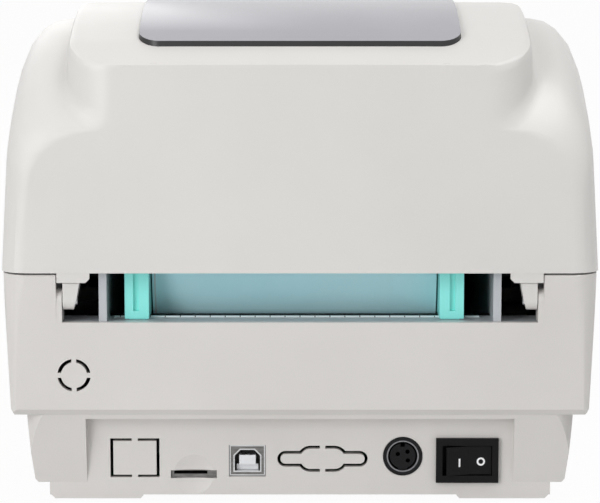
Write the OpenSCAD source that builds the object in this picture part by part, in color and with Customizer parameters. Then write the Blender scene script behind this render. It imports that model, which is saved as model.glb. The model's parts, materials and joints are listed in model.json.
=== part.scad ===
// Barcode label printer: a four inch desktop machine with a drop-in roll, seen from its port side.
// Millimetres. +Z is up, the labels leave at -Y, the ports face +Y, and the table is at Z = 0.
// Insets are measured forward from the rear plane, so an inset of 0 is the rear face.

/* [Body] */
// Width over the rim of the lid
body_w = 197.8; // [194:0.2:204]
// Depth from the front face to the rear face
body_d = 236; // [232:1:244]
// Height from the table to the crest of the lid
body_h = 164; // [160:0.5:172]
// Wall of the moulded housings
wall = 2.4; // [2.2:0.1:2.6]
// Rounding of the rear corners, seen from above
rear_corner_r = 8.9; // [7:0.1:11]
// Rounding of the front corners, seen from above
front_corner_r = 24; // [20:1:28]
// Height of the joint between the base and the casing
base_top_z = 30.5; // [29.5:0.1:31]
// Height of the upper rim of the casing
seam_z = 77.7; // [76.5:0.1:79]
// Gap between the casing and the closed lid
seam_gap = 0.6; // [0.5:0.1:0.8]

/* [Lid] */
// Drop from the crest to the rear rim of the raised middle
rim_drop = 17.6; // [14:0.2:24]
// Drop from the crest to the soft ridge where the shoulders turn forward
ridge_drop = 39.5; // [34:0.5:46]
// Inset of the crest
crest_s = 67; // [60:1:75]
// Half width of the raised middle
hump_half_w = 77; // [72:0.5:80]
// Corner rounding of the raised middle, seen from above
hump_corner_r = 16; // [12:0.5:20]
// Drop from the raised middle to the crest of the shoulders
shoulder_drop = 5.4; // [3:0.2:6]
// Half width of the window
window_half_w = 53.3; // [48:0.1:58]
// Inset of the rear edge of the window
window_s0 = 12.5; // [9:0.5:14]
// Inset of the front edge of the window
window_s1 = 152; // [140:1:160]
// Corner rounding of the window
window_r = 7; // [4:0.5:10]
// Thickness of the window
window_t = 2.4; // [2:0.1:2.6]
// How far the window stands out of the lid
window_proud = 1.2; // [0.8:0.1:1.4]

/* [Slot and ports] */
// Width of the casing's corner beside the rear slot
corner_block_w = 18.6; // [17:0.1:20]
// Height of the rear slot's sill
sill_z = 61.8; // [61.6:0.1:62.4]
// Width of the recess round the ports
recess_w = 142.6; // [141:0.2:146]
// Ceiling of the recess round the ports
recess_z = 28.9; // [28.5:0.1:29.4]
// Inset of the port panel
panel_s = 8; // [7:0.1:9]
// Diameter of the cable knock-out
knockout_d = 11; // [9:0.5:13]
// Width of the power switch's frame
switch_w = 20.9; // [20:0.1:22]
// Height of the power switch's frame
switch_h = 15.1; // [14.5:0.1:15.5]
// Throw of the switch rocker from one side to the other
rocker_throw = 20; // [14:1:20]

/* [Labels] */
// Diameter of the full roll
roll_d = 110; // [80:1:112]
// Width of the labels
label_w = 95.6; // [92:0.2:96]
// Diameter of the core's bore
core_bore_d = 25.4; // [20:0.2:28]
// Wall of the core
core_wall = 2.2; // [1.5:0.1:3]
// Middle of the label path, to the left of the middle of the body
path_x = 1.9; // [1.5:0.1:2.1]
// Outward travel of each guide
guide_travel = 5; // [3:0.5:5]

/* [Drive] */
// Diameter of the platen
platen_d = 16; // [14:0.5:16]
// Module of the drive gears
drive_m = 0.8; // [0.76:0.01:0.8]
// Teeth of the motor pinion
motor_teeth = 15; // [15:1:16]
// Teeth of the large idler wheel
idler_big_teeth = 45; // [44:1:45]
// Teeth of the small idler wheel
idler_small_teeth = 15; // [15:1:16]
// Teeth of the platen gear
platen_teeth = 30; // [29:1:31]
// Module of the guide racks
rack_m = 0.6; // [0.55:0.01:0.6]
// Teeth of the guide pinion
rack_pinion_teeth = 18; // [18:1:18]
// Play between meshing teeth
tooth_play = 0.12; // [0.08:0.01:0.2]
// Pressure angle of all teeth
tooth_angle = 20; // [18:1:22]

/* [Hidden] */
$fn = 64;

// Overrun of every cut past the face that it opens
cut = 1;
// Running clearance of a shaft in its bearing
running = 0.05;
// Clearance between pieces that move past each other
clear = 0.3;
// Clearance of a piece that drops into its seat
seat = 0.15;
half_w = body_w / 2;
rear_y = body_d / 2;
lid_low_z = seam_z + seam_gap;
rim_z = body_h - rim_drop;
ridge_z = body_h - ridge_drop;

// Base
base_floor_z = 2.1;
base_inset = 7.5;
base_half_w = half_w - base_inset;
base_lean = 2.7;
base_low_half_w = base_half_w - base_lean;
base_edge_w = 1;
base_skirt_half_w = base_low_half_w - base_edge_w;
base_step_w = 7.5;
base_step_half_w = base_half_w - base_step_w;
base_step_z = 6.4;
base_edge_h = 1.2;
base_low_z = base_step_z + base_edge_h;
base_rear_s = 3;
base_corner_less = 1.5;
base_corner_r = rear_corner_r - base_corner_less;
base_front_corner_less = 5;
base_front_corner_r = front_corner_r - base_front_corner_less;
plinth_in_half_w = 52.6;
plinth_l = 50;
plinth_z = 0.8;
plinth_edge = 1.8;
foot_r = 7;
foot_sink = 1.2;
foot_x = 70;
foot_inset = 16;
foot_s = panel_s + foot_inset;
boss_r = 4.2;
boss_x = 72;
boss_s = [32, 142];
screw_r = 1.5;
screw_head_r = 3;
screw_head_h = 2;
housing_screw_x = 78.4;
housing_screw_s = 42;

// Casing
casing_top_inset = 0.6;
casing_top_half_w = half_w - casing_top_inset;
casing_lean = 2.4;
casing_low_half_w = casing_top_half_w - casing_lean;
casing_edge_w = 1.2;
casing_edge_half_w = casing_low_half_w - casing_edge_w;
casing_edge_h = 2;
casing_edge_z = base_top_z + casing_edge_h;
casing_low_s = 1.2;
casing_edge_s = 2.8;
slot_half_w = half_w - corner_block_w;
slot_end_t = 2.4;
slot_end_l = 20;
rim_chamfer = 0.6;
knockout_x = 74.7;
knockout_z = 44.1;
knockout_ring = 1.2;
knockout_bridge = 1.6;
exit_half_w = 62;
exit_drop = 2.2;
exit_low_z = seam_z - exit_drop;
exit_rise = 7.2;
exit_high_z = seam_z + exit_rise;

// Hinge
hinge_s = 3.5;
hinge_drop = 8.9;
hinge_z = seam_z - hinge_drop;
hinge_pin_r = 1.5;
knuckle_r = 3;
lug_gap = 2.2;
lug_out_x = slot_half_w - lug_gap;
lug_w = 6;
lug_top_in_x = lug_out_x - lug_w;
lug_low_w = 4.4;
lug_low_in_x = lug_out_x - lug_low_w;
lug_toe = 1;
lug_rise = 19;
lug_top_z = seam_z + lug_rise;
lug_front_s = 9.5;
tab_w = 11.1;
tab_in_x = slot_half_w - tab_w;
tab_drop = 2.6;
tab_z = seam_z - tab_drop;
tab_set_back = 0.1;
lip_t = 1.3;
lip_h = 4;
hinge_boss_r = 4;
hinge_boss_step = 1;
hinge_boss_s = hinge_s + hinge_boss_step;
hinge_ear = lug_gap - clear;
hinge_pin_reach = 9;
hinge_pin_out_x = slot_half_w + hinge_pin_reach;

// Guides: their inner faces stand beside the labels
guide_gap = 0.5;
guide_in_half = label_w / 2 + guide_gap;
guide_w = 8;
guide_arm_t = 2.6;

// Media frame, its trough and its shelf
plate_in_x = path_x + guide_in_half + guide_w + guide_travel + 2 * clear;
plate_t = 2.6;
plate_out_x = plate_in_x + plate_t;
plate_drop = 2.7;
plate_top_z = seam_z - plate_drop;
trough_gap = 0.3;
trough_t = 2.2;
trough_lift = 0.5;
trough_low_z = base_top_z + trough_lift;
roll_room = 5;
trough_r = roll_d / 2 + roll_room;
trough_z = trough_low_z + trough_t + trough_r;
roll_z = trough_low_z + trough_t + trough_gap + roll_d / 2;
roll_s = 72;
shelf_drop = 0.2;
shelf_z = sill_z - shelf_drop;
shelf_t = 2.4;
shelf_gap = 0.8;
shelf_rear_s = wall + shelf_gap;
rack_deck_l = 6;
function trough_in_s(z, r) = roll_s - sqrt(r * r - (trough_z - z) * (trough_z - z));
trough_lip_s = trough_in_s(shelf_z, trough_r + trough_t);
rib_rise = 3;
rib_top_z = seam_z + rib_rise;
rib_rear_s = 3;
rib_front_s = 8.4;
pad_r = 6;
pad_h = 2.6;
beam_back = 20;
beam_l = 12;
beam_s0 = body_d - beam_back;
beam_s1 = beam_s0 + beam_l;
beam_drop = 19.7;
beam_h = 10;
beam_z0 = seam_z - beam_drop;
beam_z1 = beam_z0 + beam_h;
frame_back = 7;
frame_front_s = body_d - frame_back;
frame_throat = 4;
frame_throat_s = beam_s0 + frame_throat;
frame_lift = 5.5;
frame_low_z = base_top_z + frame_lift;
tie_s0 = 140;
tie_l = 6;
tie_s1 = tie_s0 + tie_l;
tie_h = 4;
deck_drop = 1.2;

// Posts of the guides and their racks
guide_rear_s = 8;
guide_post_l = 7;
guide_post_h = 40;
guide_post_top_z = shelf_z + guide_post_h;
guide_post_edge = 4;
guide_groove_w = 1.9;
guide_groove_in = 3.3;
guide_groove_d = 1.4;
guide_groove_lift = 2.9;
guide_groove_z = shelf_z + guide_groove_lift;
guide_disc_r = 36;
guide_hole_r = 17;
guide_neck_w = 6;
guide_neck_s0 = 8.6;
guide_neck_s1 = 12;
rack_drop = 11.6;
rack_low_z = shelf_z - rack_drop;
rack_h = 4;
rack_back = 1.8;
rack_floor_t = 2.2;
rack_pinion_r = rack_m * rack_pinion_teeth / 2;
rack_pinion_s = 12.2;
rack_reach = 9;
rack_pin_r = 1.6;

// Platen, gears and motor
platen_back = 31;
platen_s = body_d - platen_back;
platen_drop = 6.2;
platen_z = seam_z - platen_drop;
platen_l = 112;
platen_shaft_r = 3;
bearing_r = 5.5;
bearing_l = 5;
gear_w = 5;
gear_gap = 0.8;
layer_gap = 2;
layer_a_x = -(plate_out_x + layer_gap);
layer_b_x = layer_a_x - gear_w - gear_gap;
motor_behind = 35;
motor_s = platen_s - motor_behind;
motor_drop = 25.7;
motor_z = seam_z - motor_drop;
motor_r = 17.5;
motor_l = 24;
motor_shaft_r = 1.5;
motor_boss_r = 5;
motor_boss_l = 2;
motor_ear_x = 22;
motor_ear_r = 4.2;
motor_ear_t = 1.6;
idler_axle_r = 2;
idler_hub_r = 4;
tooth_add = 1;
tooth_ded = 1.25;

// Label guide plate, sensor and tear bar
guide_plate_t = 2;
guide_plate_lap = 3.4;
guide_plate_s0 = roll_s + trough_r - guide_plate_lap;
guide_plate_gap = 8.5;
guide_plate_s1 = platen_s - guide_plate_gap;
guide_plate_dip = 1.3;
sensor_w = 10;
sensor_l = 8;
sensor_behind = 37;
sensor_s = platen_s - sensor_behind;
tear_t = 1.2;
tear_half_l = 58;
tear_pitch = 2.5;
tear_tooth = 1.6;
tear_lap = 1;
tear_s0 = beam_s0 + tear_lap;
tear_back = 5.6;
tear_s1 = body_d - tear_back;
tear_drop = 0.7;
tear_z = seam_z - tear_drop;

// Front control
button_x = -58;
button_drop = 31.7;
button_z = seam_z - button_drop;
button_r = 7;
button_flange_r = 9;
button_flange_t = 1.5;
button_travel = 1.2;
button_stem_r = 2;
lens_step = 20;
lens_x = button_x + lens_step;
lens_r = 2.5;
board_t = 1.6;
board_gap = 7;
button_board_w = 44;
button_board_h = 20;
button_board_x = (button_x + lens_x) / 2;
button_boss_r = 2;
button_boss_in = 2.5;
button_boss_step = button_board_w / 2 - button_boss_in;
button_boss_z = button_z + button_board_h / 2 - button_boss_in;

// Latch
latch_back = 22;
latch_s = body_d - latch_back;
latch_drop = 31.7;
latch_z = seam_z - latch_drop;
latch_shaft_r = 3;
latch_spring_t = 1.4;
latch_spring_gap = 4;
hook_in = 15.4;
hook_in_x = half_w - hook_in;
hook_t = 4;
hook_arm = 3;
hook_hub_r = 5.5;
catch_back = 30;
catch_s = body_d - catch_back;
catch_rise = 7.3;
catch_z = seam_z + catch_rise;
catch_r = 2;
lever_in = 10.5;
lever_in_x = half_w - lever_in;
lever_t = 2.2;
lever_tab_drop = 15;
lever_tab_h = 8;
lever_tab_z0 = seam_z - lever_tab_drop;
lever_tab_z1 = lever_tab_z0 + lever_tab_h;
lever_tab_out = 1.2;
pocket_deep = 5.5;
pocket_x = half_w - pocket_deep;
pocket_behind = 11;
pocket_ahead = 10;
pocket_s0 = latch_s - pocket_behind;
pocket_s1 = latch_s + pocket_ahead;
pocket_drop = 20;
pocket_h = 17;
pocket_z0 = seam_z - pocket_drop;
pocket_z1 = pocket_z0 + pocket_h;

// Print head
head_half_l = 53;
head_bar_t = 1.2;
head_bar_w = 16;
head_bar_s0 = platen_s - head_bar_w / 2;
head_bar_s1 = platen_s + head_bar_w / 2;
sink_behind = 13;
sink_ahead = 14;
sink_s0 = platen_s - sink_behind;
sink_s1 = platen_s + sink_ahead;
sink_h = 6;
sink_half_l = 54;
sink_ledge = 2.5;
sink_ledge_h = 2;
sink_slot_share = 0.34;
sink_slot_at_share = 0.62;
bracket_t = 1.6;
spring_h = 9;
spring_r = 4;
spring_wire_r = 0.5;
spring_turns = 5;
spring_x = 30;
carrier_h = 7;
carrier_leg_step = 3.1;
carrier_leg_in_x = hook_in_x - carrier_leg_step;
carrier_leg_t = 2.4;
carrier_gap = 0.1;
head_low_z = platen_z + platen_d / 2 + clear;
bracket_top_z = head_low_z + head_bar_t + sink_h + spring_h + bracket_t;

// Boards and sockets
pcb_half_w = 64;
pcb_gap = 0.6;
pcb_s0 = panel_s + wall + pcb_gap;
pcb_l = 109;
pcb_s1 = pcb_s0 + pcb_l;
pcb_t = 1.6;
pcb_low_z = 6;
pcb_top_z = pcb_low_z + pcb_t;
standoff_r = 3;
network_x = 55.3;
network_w = 16.5;
network_z0 = 8;
network_h = 13.3;
network_side = 1.05;
network_edge = 0.9;
network_bridge = 2;
card_x = 35.6;
card_w = 15.4;
card_z0 = 7.66;
card_h = 2.74;
card_dish_r = 23;
card_dish_in = 1;
card_l = 26;
card_case_t = 0.8;
card_end_t = 2;
card_mouth_in = 0.9;
card_mouth_side = 3;
card_mouth_h = 1.1;
usb_x = 17.65;
usb_w = 12;
usb_h = 10.5;
usb_z0 = 8.35;
usb_reveal = 1;
usb_l = 16;
usb_in_w = 9.4;
usb_in_h = 8;
usb_bevel = 2.2;
usb_tongue_w = 5.5;
usb_tongue_h = 3.2;
serial_x = -7.55;
serial_w = 30.3;
serial_d_w = 17;
serial_d_h = 9;
serial_ear_h = 5.4;
serial_z = 14.3;
serial_line = 1.05;
serial_bridge = 1.8;
power_x = -34.4;
power_z = 15.2;
power_r = 6.5;
power_ring_r = 5.4;
power_ring_t = 0.45;
power_core_r = 4.3;
power_body_w = 14;
power_body_l = 14;
power_well = 6;
power_hole_r = 0.75;
power_hole_shares = [[0.38, 0.14], [-0.38, 0.33], [-0.41, -0.37]];
switch_x = -55.95;
switch_z = 13.95;
switch_bezel_t = 1.5;
switch_body_w = 18.4;
switch_body_h = 12.4;
switch_body_l = 16;
switch_well = 2;
rocker_w = 15.4;
rocker_h = 9.6;
rocker_deep = 3;
rocker_high = 3;
rocker_waist = 1.9;
rocker_edge = 1;
rocker_keel = 2;
rocker_pivot_sink = 1;
rocker_pivot_s = panel_s + rocker_pivot_sink;
rocker_pivot_r = 1;
rocker_pivot_l = 0.7;

shell_white = [0.85, 0.84, 0.82];
casing_white = [0.81, 0.80, 0.79];
dark = [0.13, 0.13, 0.14];
frame_grey = [0.72, 0.73, 0.75];
steel = [0.66, 0.67, 0.69];
guide_green = [0.42, 0.84, 0.79];

// Maps an inset to the depth coordinate
function y_of(s) = rear_y - s;

// Runs a profile drawn in inset and height across the body
module across(x0, x1) {
    translate([x1, rear_y, 0]) rotate([90, 0, -90]) linear_extrude(x1 - x0) children();
}

// Runs a profile drawn in width and height forward between two insets
module forward(s0, s1) {
    translate([0, y_of(s0), 0]) rotate([90, 0, 0]) linear_extrude(s1 - s0) children();
}

// Raises a plan between two heights
module raise(z0, z1) {
    translate([0, 0, z0]) linear_extrude(z1 - z0) children();
}

module block(x0, x1, s0, s1, z0, z1) {
    translate([x0, y_of(s1), z0]) cube([x1 - x0, s1 - s0, z1 - z0]);
}

module rod(x0, x1, s, z, r) {
    translate([x0, y_of(s), z]) rotate([0, 90, 0]) cylinder(h = x1 - x0, r = r);
}

module peg(x, s, z0, z1, r) {
    translate([x, y_of(s), z0]) cylinder(h = z1 - z0, r = r);
}

module stub(x, z, s0, s1, r) {
    translate([x, y_of(s0), z]) rotate([90, 0, 0]) cylinder(h = s1 - s0, r = r);
}

module both_sides() {
    children();
    mirror([1, 0, 0]) children();
}

// Plan of a housing: straight sides with round corners, larger at the front
module housing_plan(half, s0, s1, rear_r, front_r) {
    polygon([
        [half, y_of(s0 + rear_r)], [half - rear_r, y_of(s0)], [rear_r - half, y_of(s0)],
        [-half, y_of(s0 + rear_r)], [-half, y_of(s1 - front_r)], [front_r - half, y_of(s1)],
        [half - front_r, y_of(s1)], [half, y_of(s1 - front_r)]
    ]);
    for (side = [-1, 1]) {
        translate([side * (half - rear_r), y_of(s0 + rear_r)]) circle(r = rear_r);
        translate([side * (half - front_r), y_of(s1 - front_r)]) circle(r = front_r);
    }
}

// Base: the lower shell with its port panel and moulded plinths
function mirrored(right) = concat(right, [for (i = [len(right) - 1:-1:0]) [-right[i][0], right[i][1]]]);

// Value at a height on the straight line through two points of value and height
function on_line(a, b, z) = a[0] + (b[0] - a[0]) * (z - a[1]) / (b[1] - a[1]);

module base_form(t, top) {
    floor_z = base_floor_z + t;
    step_z = base_step_z + t;
    low = [base_low_half_w - t, base_low_z + t];
    top_x = on_line(low, [base_half_w - t, base_top_z], top);
    top_s = on_line([panel_s + t, step_z], [base_rear_s + t, base_top_z], top);
    intersection() {
        forward(-cut, body_d + cut) polygon(mirrored([
            [base_step_half_w - t, floor_z], [base_step_half_w - t, step_z],
            [base_skirt_half_w - t, step_z], low, [top_x, top]
        ]));
        across(-half_w, half_w) polygon([
            [panel_s + t, floor_z], [panel_s + t, step_z], [top_s, top], [body_d - top_s, top],
            [body_d - panel_s - t, step_z], [body_d - panel_s - t, floor_z]
        ]);
        raise(0, top) housing_plan(base_half_w - t, base_rear_s + t, body_d - base_rear_s - t,
            base_corner_r - t, base_front_corner_r - t);
    }
}

module plinth() {
    intersection() {
        block(plinth_in_half_w, base_step_half_w, panel_s, panel_s + plinth_l, plinth_z, base_floor_z + cut);
        forward(panel_s, panel_s + plinth_l) polygon([
            [plinth_in_half_w, base_floor_z + cut], [plinth_in_half_w, plinth_z + plinth_edge / 2],
            [plinth_in_half_w + plinth_edge / 2, plinth_z], [base_step_half_w - plinth_edge, plinth_z],
            [base_step_half_w, plinth_z + plinth_edge], [base_step_half_w, base_floor_z + cut]
        ]);
    }
}

module four_corners(s) {
    both_sides() {
        children();
        translate([0, 2 * s - body_d, 0]) children();
    }
}

// Knock-out of the network socket: four thin slots with a bridge in the upper and lower one
module network_knockout() {
    x0 = network_x - network_w / 2;
    x1 = network_x + network_w / 2;
    z1 = network_z0 + network_h;
    for (x = [x0, x1 - network_side])
        block(x, x + network_side, panel_s - cut, panel_s + wall + cut, network_z0, z1);
    for (z = [network_z0, z1 - network_edge])
        for (side = [-1, 1])
            block(network_x + (side < 0 ? -network_w / 2 : network_bridge / 2),
                network_x + (side < 0 ? -network_bridge / 2 : network_w / 2),
                panel_s - cut, panel_s + wall + cut, z, z + network_edge);
}

module serial_outline(t) {
    r = serial_d_h / 2 - t;
    ear_r = serial_ear_h / 2 - t;
    d = serial_d_w / 2 - serial_d_h / 2;
    square([2 * d, 2 * r], center = true);
    for (side = [-1, 1]) {
        translate([side * d, 0]) circle(r = r);
        translate([side * (serial_w / 2 - serial_ear_h / 2), 0]) circle(r = ear_r);
    }
    square([serial_w - serial_ear_h, 2 * ear_r], center = true);
}

module serial_knockout() {
    translate([serial_x, 0, serial_z]) forward(panel_s - cut, panel_s + wall + cut) difference() {
        serial_outline(0);
        serial_outline(serial_line);
        square([serial_bridge, serial_d_h + cut], center = true);
    }
}

module base_tray() {
    color(casing_white) {
        difference() {
            union() {
                base_form(0, base_top_z);
                plinth_set();
            }
            difference() {
                base_form(wall, base_top_z + cut);
                block(-recess_w / 2 - wall, recess_w / 2 + wall, 0, panel_s + wall, 0,
                    base_top_z + 2 * cut);
            }
            block(-recess_w / 2, recess_w / 2, 0, panel_s, 0, recess_z);
            for (side = [-1, 1])
                for (s = [foot_s, body_d - foot_s])
                    peg(side * foot_x, s, 0, plinth_z + foot_sink, foot_r);
            for (side = [-1, 1])
                for (s = [housing_screw_s, body_d - housing_screw_s]) {
                    peg(side * housing_screw_x, s, 0, base_floor_z + wall + cut, screw_r);
                    peg(side * housing_screw_x, s, 0, plinth_z + screw_head_h, screw_head_r);
                }
            network_knockout();
            serial_knockout();
            block(card_x - card_w / 2, card_x + card_w / 2, panel_s - cut, panel_s + wall + cut,
                card_z0, card_z0 + card_h);
            translate([card_x, y_of(panel_s) + card_dish_r - card_dish_in, card_z0 + card_h / 2])
                sphere(r = card_dish_r);
            block(usb_x - usb_w / 2 - seat, usb_x + usb_w / 2 + seat, panel_s - cut, panel_s + wall + cut,
                usb_z0 - seat, usb_z0 + usb_h + seat);
            stub(power_x, power_z, panel_s - cut, panel_s + wall + cut, power_r + seat);
            block(switch_x - switch_body_w / 2 - seat, switch_x + switch_body_w / 2 + seat,
                panel_s - cut, panel_s + wall + cut, switch_z - switch_body_h / 2 - seat,
                switch_z + switch_body_h / 2 + seat);
        }
        for (side = [-1, 1])
            for (s = boss_s)
                difference() {
                    peg(side * boss_x, s, base_floor_z + wall, trough_low_z, boss_r);
                    peg(side * boss_x, s, trough_low_z - 4 * screw_r, trough_low_z + cut, screw_r);
                }
        for (side = [-1, 1])
            for (s = [housing_screw_s, body_d - housing_screw_s])
                difference() {
                    peg(side * housing_screw_x, s, base_floor_z + wall / 2, base_top_z, boss_r);
                    peg(side * housing_screw_x, s, base_floor_z, base_top_z + cut, screw_r);
                }
        for (side = [-1, 1])
            for (s = [pcb_s0 + 2 * standoff_r, pcb_s1 - 2 * standoff_r])
                peg(side * (pcb_half_w - 2 * standoff_r), s, base_floor_z + wall, pcb_low_z, standoff_r);
    }
}

module plinth_set() {
    both_sides() {
        plinth();
        translate([0, 2 * panel_s + plinth_l - body_d, 0]) plinth();
    }
}

module rubber_feet() {
    color(dark) for (side = [-1, 1])
        for (s = [foot_s, body_d - foot_s])
            peg(side * foot_x, s, 0, plinth_z + foot_sink, foot_r);
}

module housing_screws() {
    color(steel) for (side = [-1, 1])
        for (s = [housing_screw_s, body_d - housing_screw_s]) {
            peg(side * housing_screw_x, s, plinth_z + screw_head_h / 2, plinth_z + screw_head_h,
                screw_head_r);
            peg(side * housing_screw_x, s, plinth_z + screw_head_h, base_top_z + wall, screw_r);
        }
}

// Casing: the middle housing with the rear slot and the label exit
module casing_form(t, top) {
    edge_z = casing_edge_z + t;
    top_x = on_line([casing_low_half_w - t, edge_z], [casing_top_half_w - t, seam_z], top);
    top_s = on_line([casing_low_s + t, edge_z], [t, seam_z], top);
    intersection() {
        forward(-cut, body_d + cut) polygon(mirrored([
            [casing_edge_half_w - t, base_top_z + t], [casing_low_half_w - t, edge_z], [top_x, top]
        ]));
        across(-half_w, half_w) polygon([
            [casing_edge_s + t, base_top_z + t], [casing_low_s + t, edge_z], [top_s, top],
            [body_d - top_s, top], [body_d - casing_low_s - t, edge_z],
            [body_d - casing_edge_s - t, base_top_z + t]
        ]);
        raise(base_top_z, top) housing_plan(casing_top_half_w - t, t, body_d - t, rear_corner_r - t,
            front_corner_r - t);
    }
}

module mid_casing() {
    color(casing_white) {
        difference() {
            casing_form(0, seam_z);
            casing_form(wall, seam_z + cut);
            raise(base_top_z - cut, base_top_z + wall + cut) housing_plan(base_half_w - 2 * wall,
                base_rear_s + 2 * wall, body_d - base_rear_s - 2 * wall, base_corner_r,
                base_front_corner_r);
            block(-slot_half_w, slot_half_w, -cut, 2 * wall, sill_z, seam_z + cut);
            block(-exit_half_w, exit_half_w, body_d - 2 * wall, body_d + cut, exit_low_z, seam_z + cut);
            across(-half_w, half_w) polygon([
                [-cut, seam_z - rim_chamfer - cut], [-cut, seam_z + cut], [rim_chamfer + cut, seam_z + cut]
            ]);
            forward(-cut, 2 * wall) translate([knockout_x, knockout_z]) difference() {
                circle(d = knockout_d);
                circle(d = knockout_d - 2 * knockout_ring);
                square([knockout_bridge, knockout_d + cut], center = true);
                square([knockout_d + cut, knockout_bridge], center = true);
            }
            both_sides() block(pocket_x, half_w + cut, pocket_s0, pocket_s1, pocket_z0, pocket_z1);
            stub(button_x, button_z, body_d - 3 * wall, body_d + cut, button_r + clear);
            stub(lens_x, button_z, body_d - 3 * wall, body_d + cut, lens_r);
            both_sides() rod(slot_half_w - cut, hinge_pin_out_x, hinge_s, hinge_z, hinge_pin_r);
        }
        both_sides() slot_end();
        both_sides() lever_pocket();
        for (side = [-1, 1]) button_boss(button_board_x + side * button_boss_step);
        both_sides() for (s = [housing_screw_s, body_d - housing_screw_s]) screw_boss(s);
    }
}

// Boss in the casing that a screw from below is driven into
module screw_boss(s) {
    difference() {
        union() {
            peg(housing_screw_x, s, base_top_z, base_top_z + 3 * wall, boss_r);
            block(housing_screw_x, casing_low_half_w - wall / 2, s - wall / 2, s + wall / 2,
                base_top_z + wall, base_top_z + 3 * wall);
        }
        peg(housing_screw_x, s, base_top_z - cut, base_top_z + wall, screw_r);
    }
}

// Wall at the end of the rear slot, with the boss that holds the hinge pin
module slot_end() {
    difference() {
        union() {
            block(slot_half_w, slot_half_w + slot_end_t, wall, slot_end_l, base_top_z + wall,
                seam_z - rim_chamfer);
            rod(slot_half_w - hinge_ear, hinge_pin_out_x, hinge_boss_s, hinge_z, hinge_boss_r);
            block(slot_half_w - hinge_ear, slot_half_w + slot_end_t, hinge_boss_s - hinge_boss_r,
                hinge_boss_s + hinge_boss_r, sill_z, hinge_z);
        }
        rod(lug_out_x, hinge_pin_out_x + cut, hinge_s, hinge_z, hinge_pin_r);
    }
}

// Recess in the side of the casing for the tab of the release lever
module lever_pocket() {
    difference() {
        intersection() {
            block(pocket_x - wall, half_w, pocket_s0 - wall, pocket_s1 + wall, pocket_z0 - wall,
                pocket_z1 + wall);
            casing_form(wall / 2, seam_z);
        }
        block(pocket_x, half_w + cut, pocket_s0, pocket_s1, pocket_z0, pocket_z1);
        block(pocket_x - wall - cut, pocket_x + cut, latch_s - hook_arm - 2 * clear, pocket_s1 - 2 * clear,
            lever_tab_z0 - 4 * clear, lever_tab_z1 + 2 * clear);
    }
}

module button_boss(x) {
    stub(x, button_boss_z, body_d - wall - board_gap - 2 * board_t, body_d - wall / 2, button_boss_r);
}

module hinge_pins() {
    color(steel) both_sides() rod(lug_low_in_x - clear, hinge_pin_out_x, hinge_s, hinge_z, hinge_pin_r);
}

// Frame: two side plates that carry the rollers, with the rear shelf and the rack floor between them
module plate_outline() {
    polygon([
        [shelf_rear_s + 2 * clear, sill_z], [rib_rear_s, sill_z], [rib_rear_s, rib_top_z],
        [rib_front_s, rib_top_z], [trough_lip_s, plate_top_z], [frame_front_s, plate_top_z],
        [frame_front_s, beam_z0],
        [frame_throat_s, beam_z0], [frame_throat_s, frame_low_z], [roll_s + trough_r, frame_low_z],
        [roll_s + trough_r / 2, trough_low_z], [roll_s - trough_r / 2, trough_low_z],
        [shelf_rear_s + rack_deck_l, rack_low_z - rack_floor_t - clear],
        [shelf_rear_s + 2 * clear, rack_low_z - rack_floor_t - clear]
    ]);
}

module guide_slot(side) {
    x0 = path_x * side + guide_in_half + clear;
    x1 = x0 + guide_neck_w + guide_travel + 2 * clear;
    block(side > 0 ? x0 : -x1, side > 0 ? x1 : -x0, guide_neck_s0 - clear, guide_neck_s1 + clear,
        shelf_z - shelf_t - cut, shelf_z + cut);
}

module media_frame() {
    rack_floor_z = rack_low_z - clear;
    color(frame_grey) {
        difference() {
            union() {
                across(plate_in_x, plate_out_x) plate_outline();
                across(-plate_out_x, -plate_in_x) plate_outline();
                block(-slot_half_w + clear, slot_half_w - clear, shelf_rear_s, trough_lip_s - trough_t,
                    shelf_z - shelf_t, shelf_z);
                block(-plate_in_x, plate_in_x, shelf_rear_s + 2 * clear,
                    trough_in_s(rack_floor_z, trough_r + trough_t) - clear, rack_floor_z - rack_floor_t,
                    rack_floor_z);
                block(-plate_in_x, plate_in_x, beam_s0, beam_s1, beam_z0, beam_z1);
                block(-tear_half_l, tear_half_l, beam_s0 + wall, beam_s1 - wall, beam_z1, tear_z);
                block(-plate_in_x, plate_in_x, tie_s0, tie_s1, frame_low_z, frame_low_z + tie_h);
                for (side = [-1, 1])
                    for (s = boss_s) {
                        peg(side * boss_x, s, trough_low_z, trough_low_z + pad_h, pad_r);
                        block(side > 0 ? plate_in_x : -boss_x, side > 0 ? boss_x : -plate_in_x, s - pad_r,
                            s + pad_r, trough_low_z, trough_low_z + pad_h);
                        block(side > 0 ? plate_in_x : -plate_out_x, side > 0 ? plate_out_x : -plate_in_x,
                            s - pad_r, s + pad_r, trough_low_z, frame_low_z + tie_h);
                    }
            }
            guide_slot(1);
            guide_slot(-1);
            rod(-half_w, half_w, platen_s, platen_z, bearing_r);
            block(-half_w, half_w, platen_s - bearing_r, platen_s + bearing_r, platen_z, seam_z);
            rod(-half_w, half_w, latch_s, latch_z, latch_shaft_r + running);
            rod(-half_w, 0, motor_s, motor_z, motor_boss_r + seat);
            for (side = [-1, 1])
                rod(-half_w, 0, motor_s + side * motor_ear_x, motor_z, screw_r);
            rod(-half_w, 0, idler_s, idler_z, idler_axle_r);
            for (side = [-1, 1])
                for (s = boss_s)
                    peg(side * boss_x, s, trough_low_z - cut, trough_low_z + pad_h + cut, screw_r);
            rod_pin_hole();
        }
    }
}

// Seat of the rack pinion's pin in the rack floor
module rod_pin_hole() {
    peg(path_x, rack_pinion_s, rack_low_z - 2 * rack_floor_t, rack_low_z, rack_pin_r);
}

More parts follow.
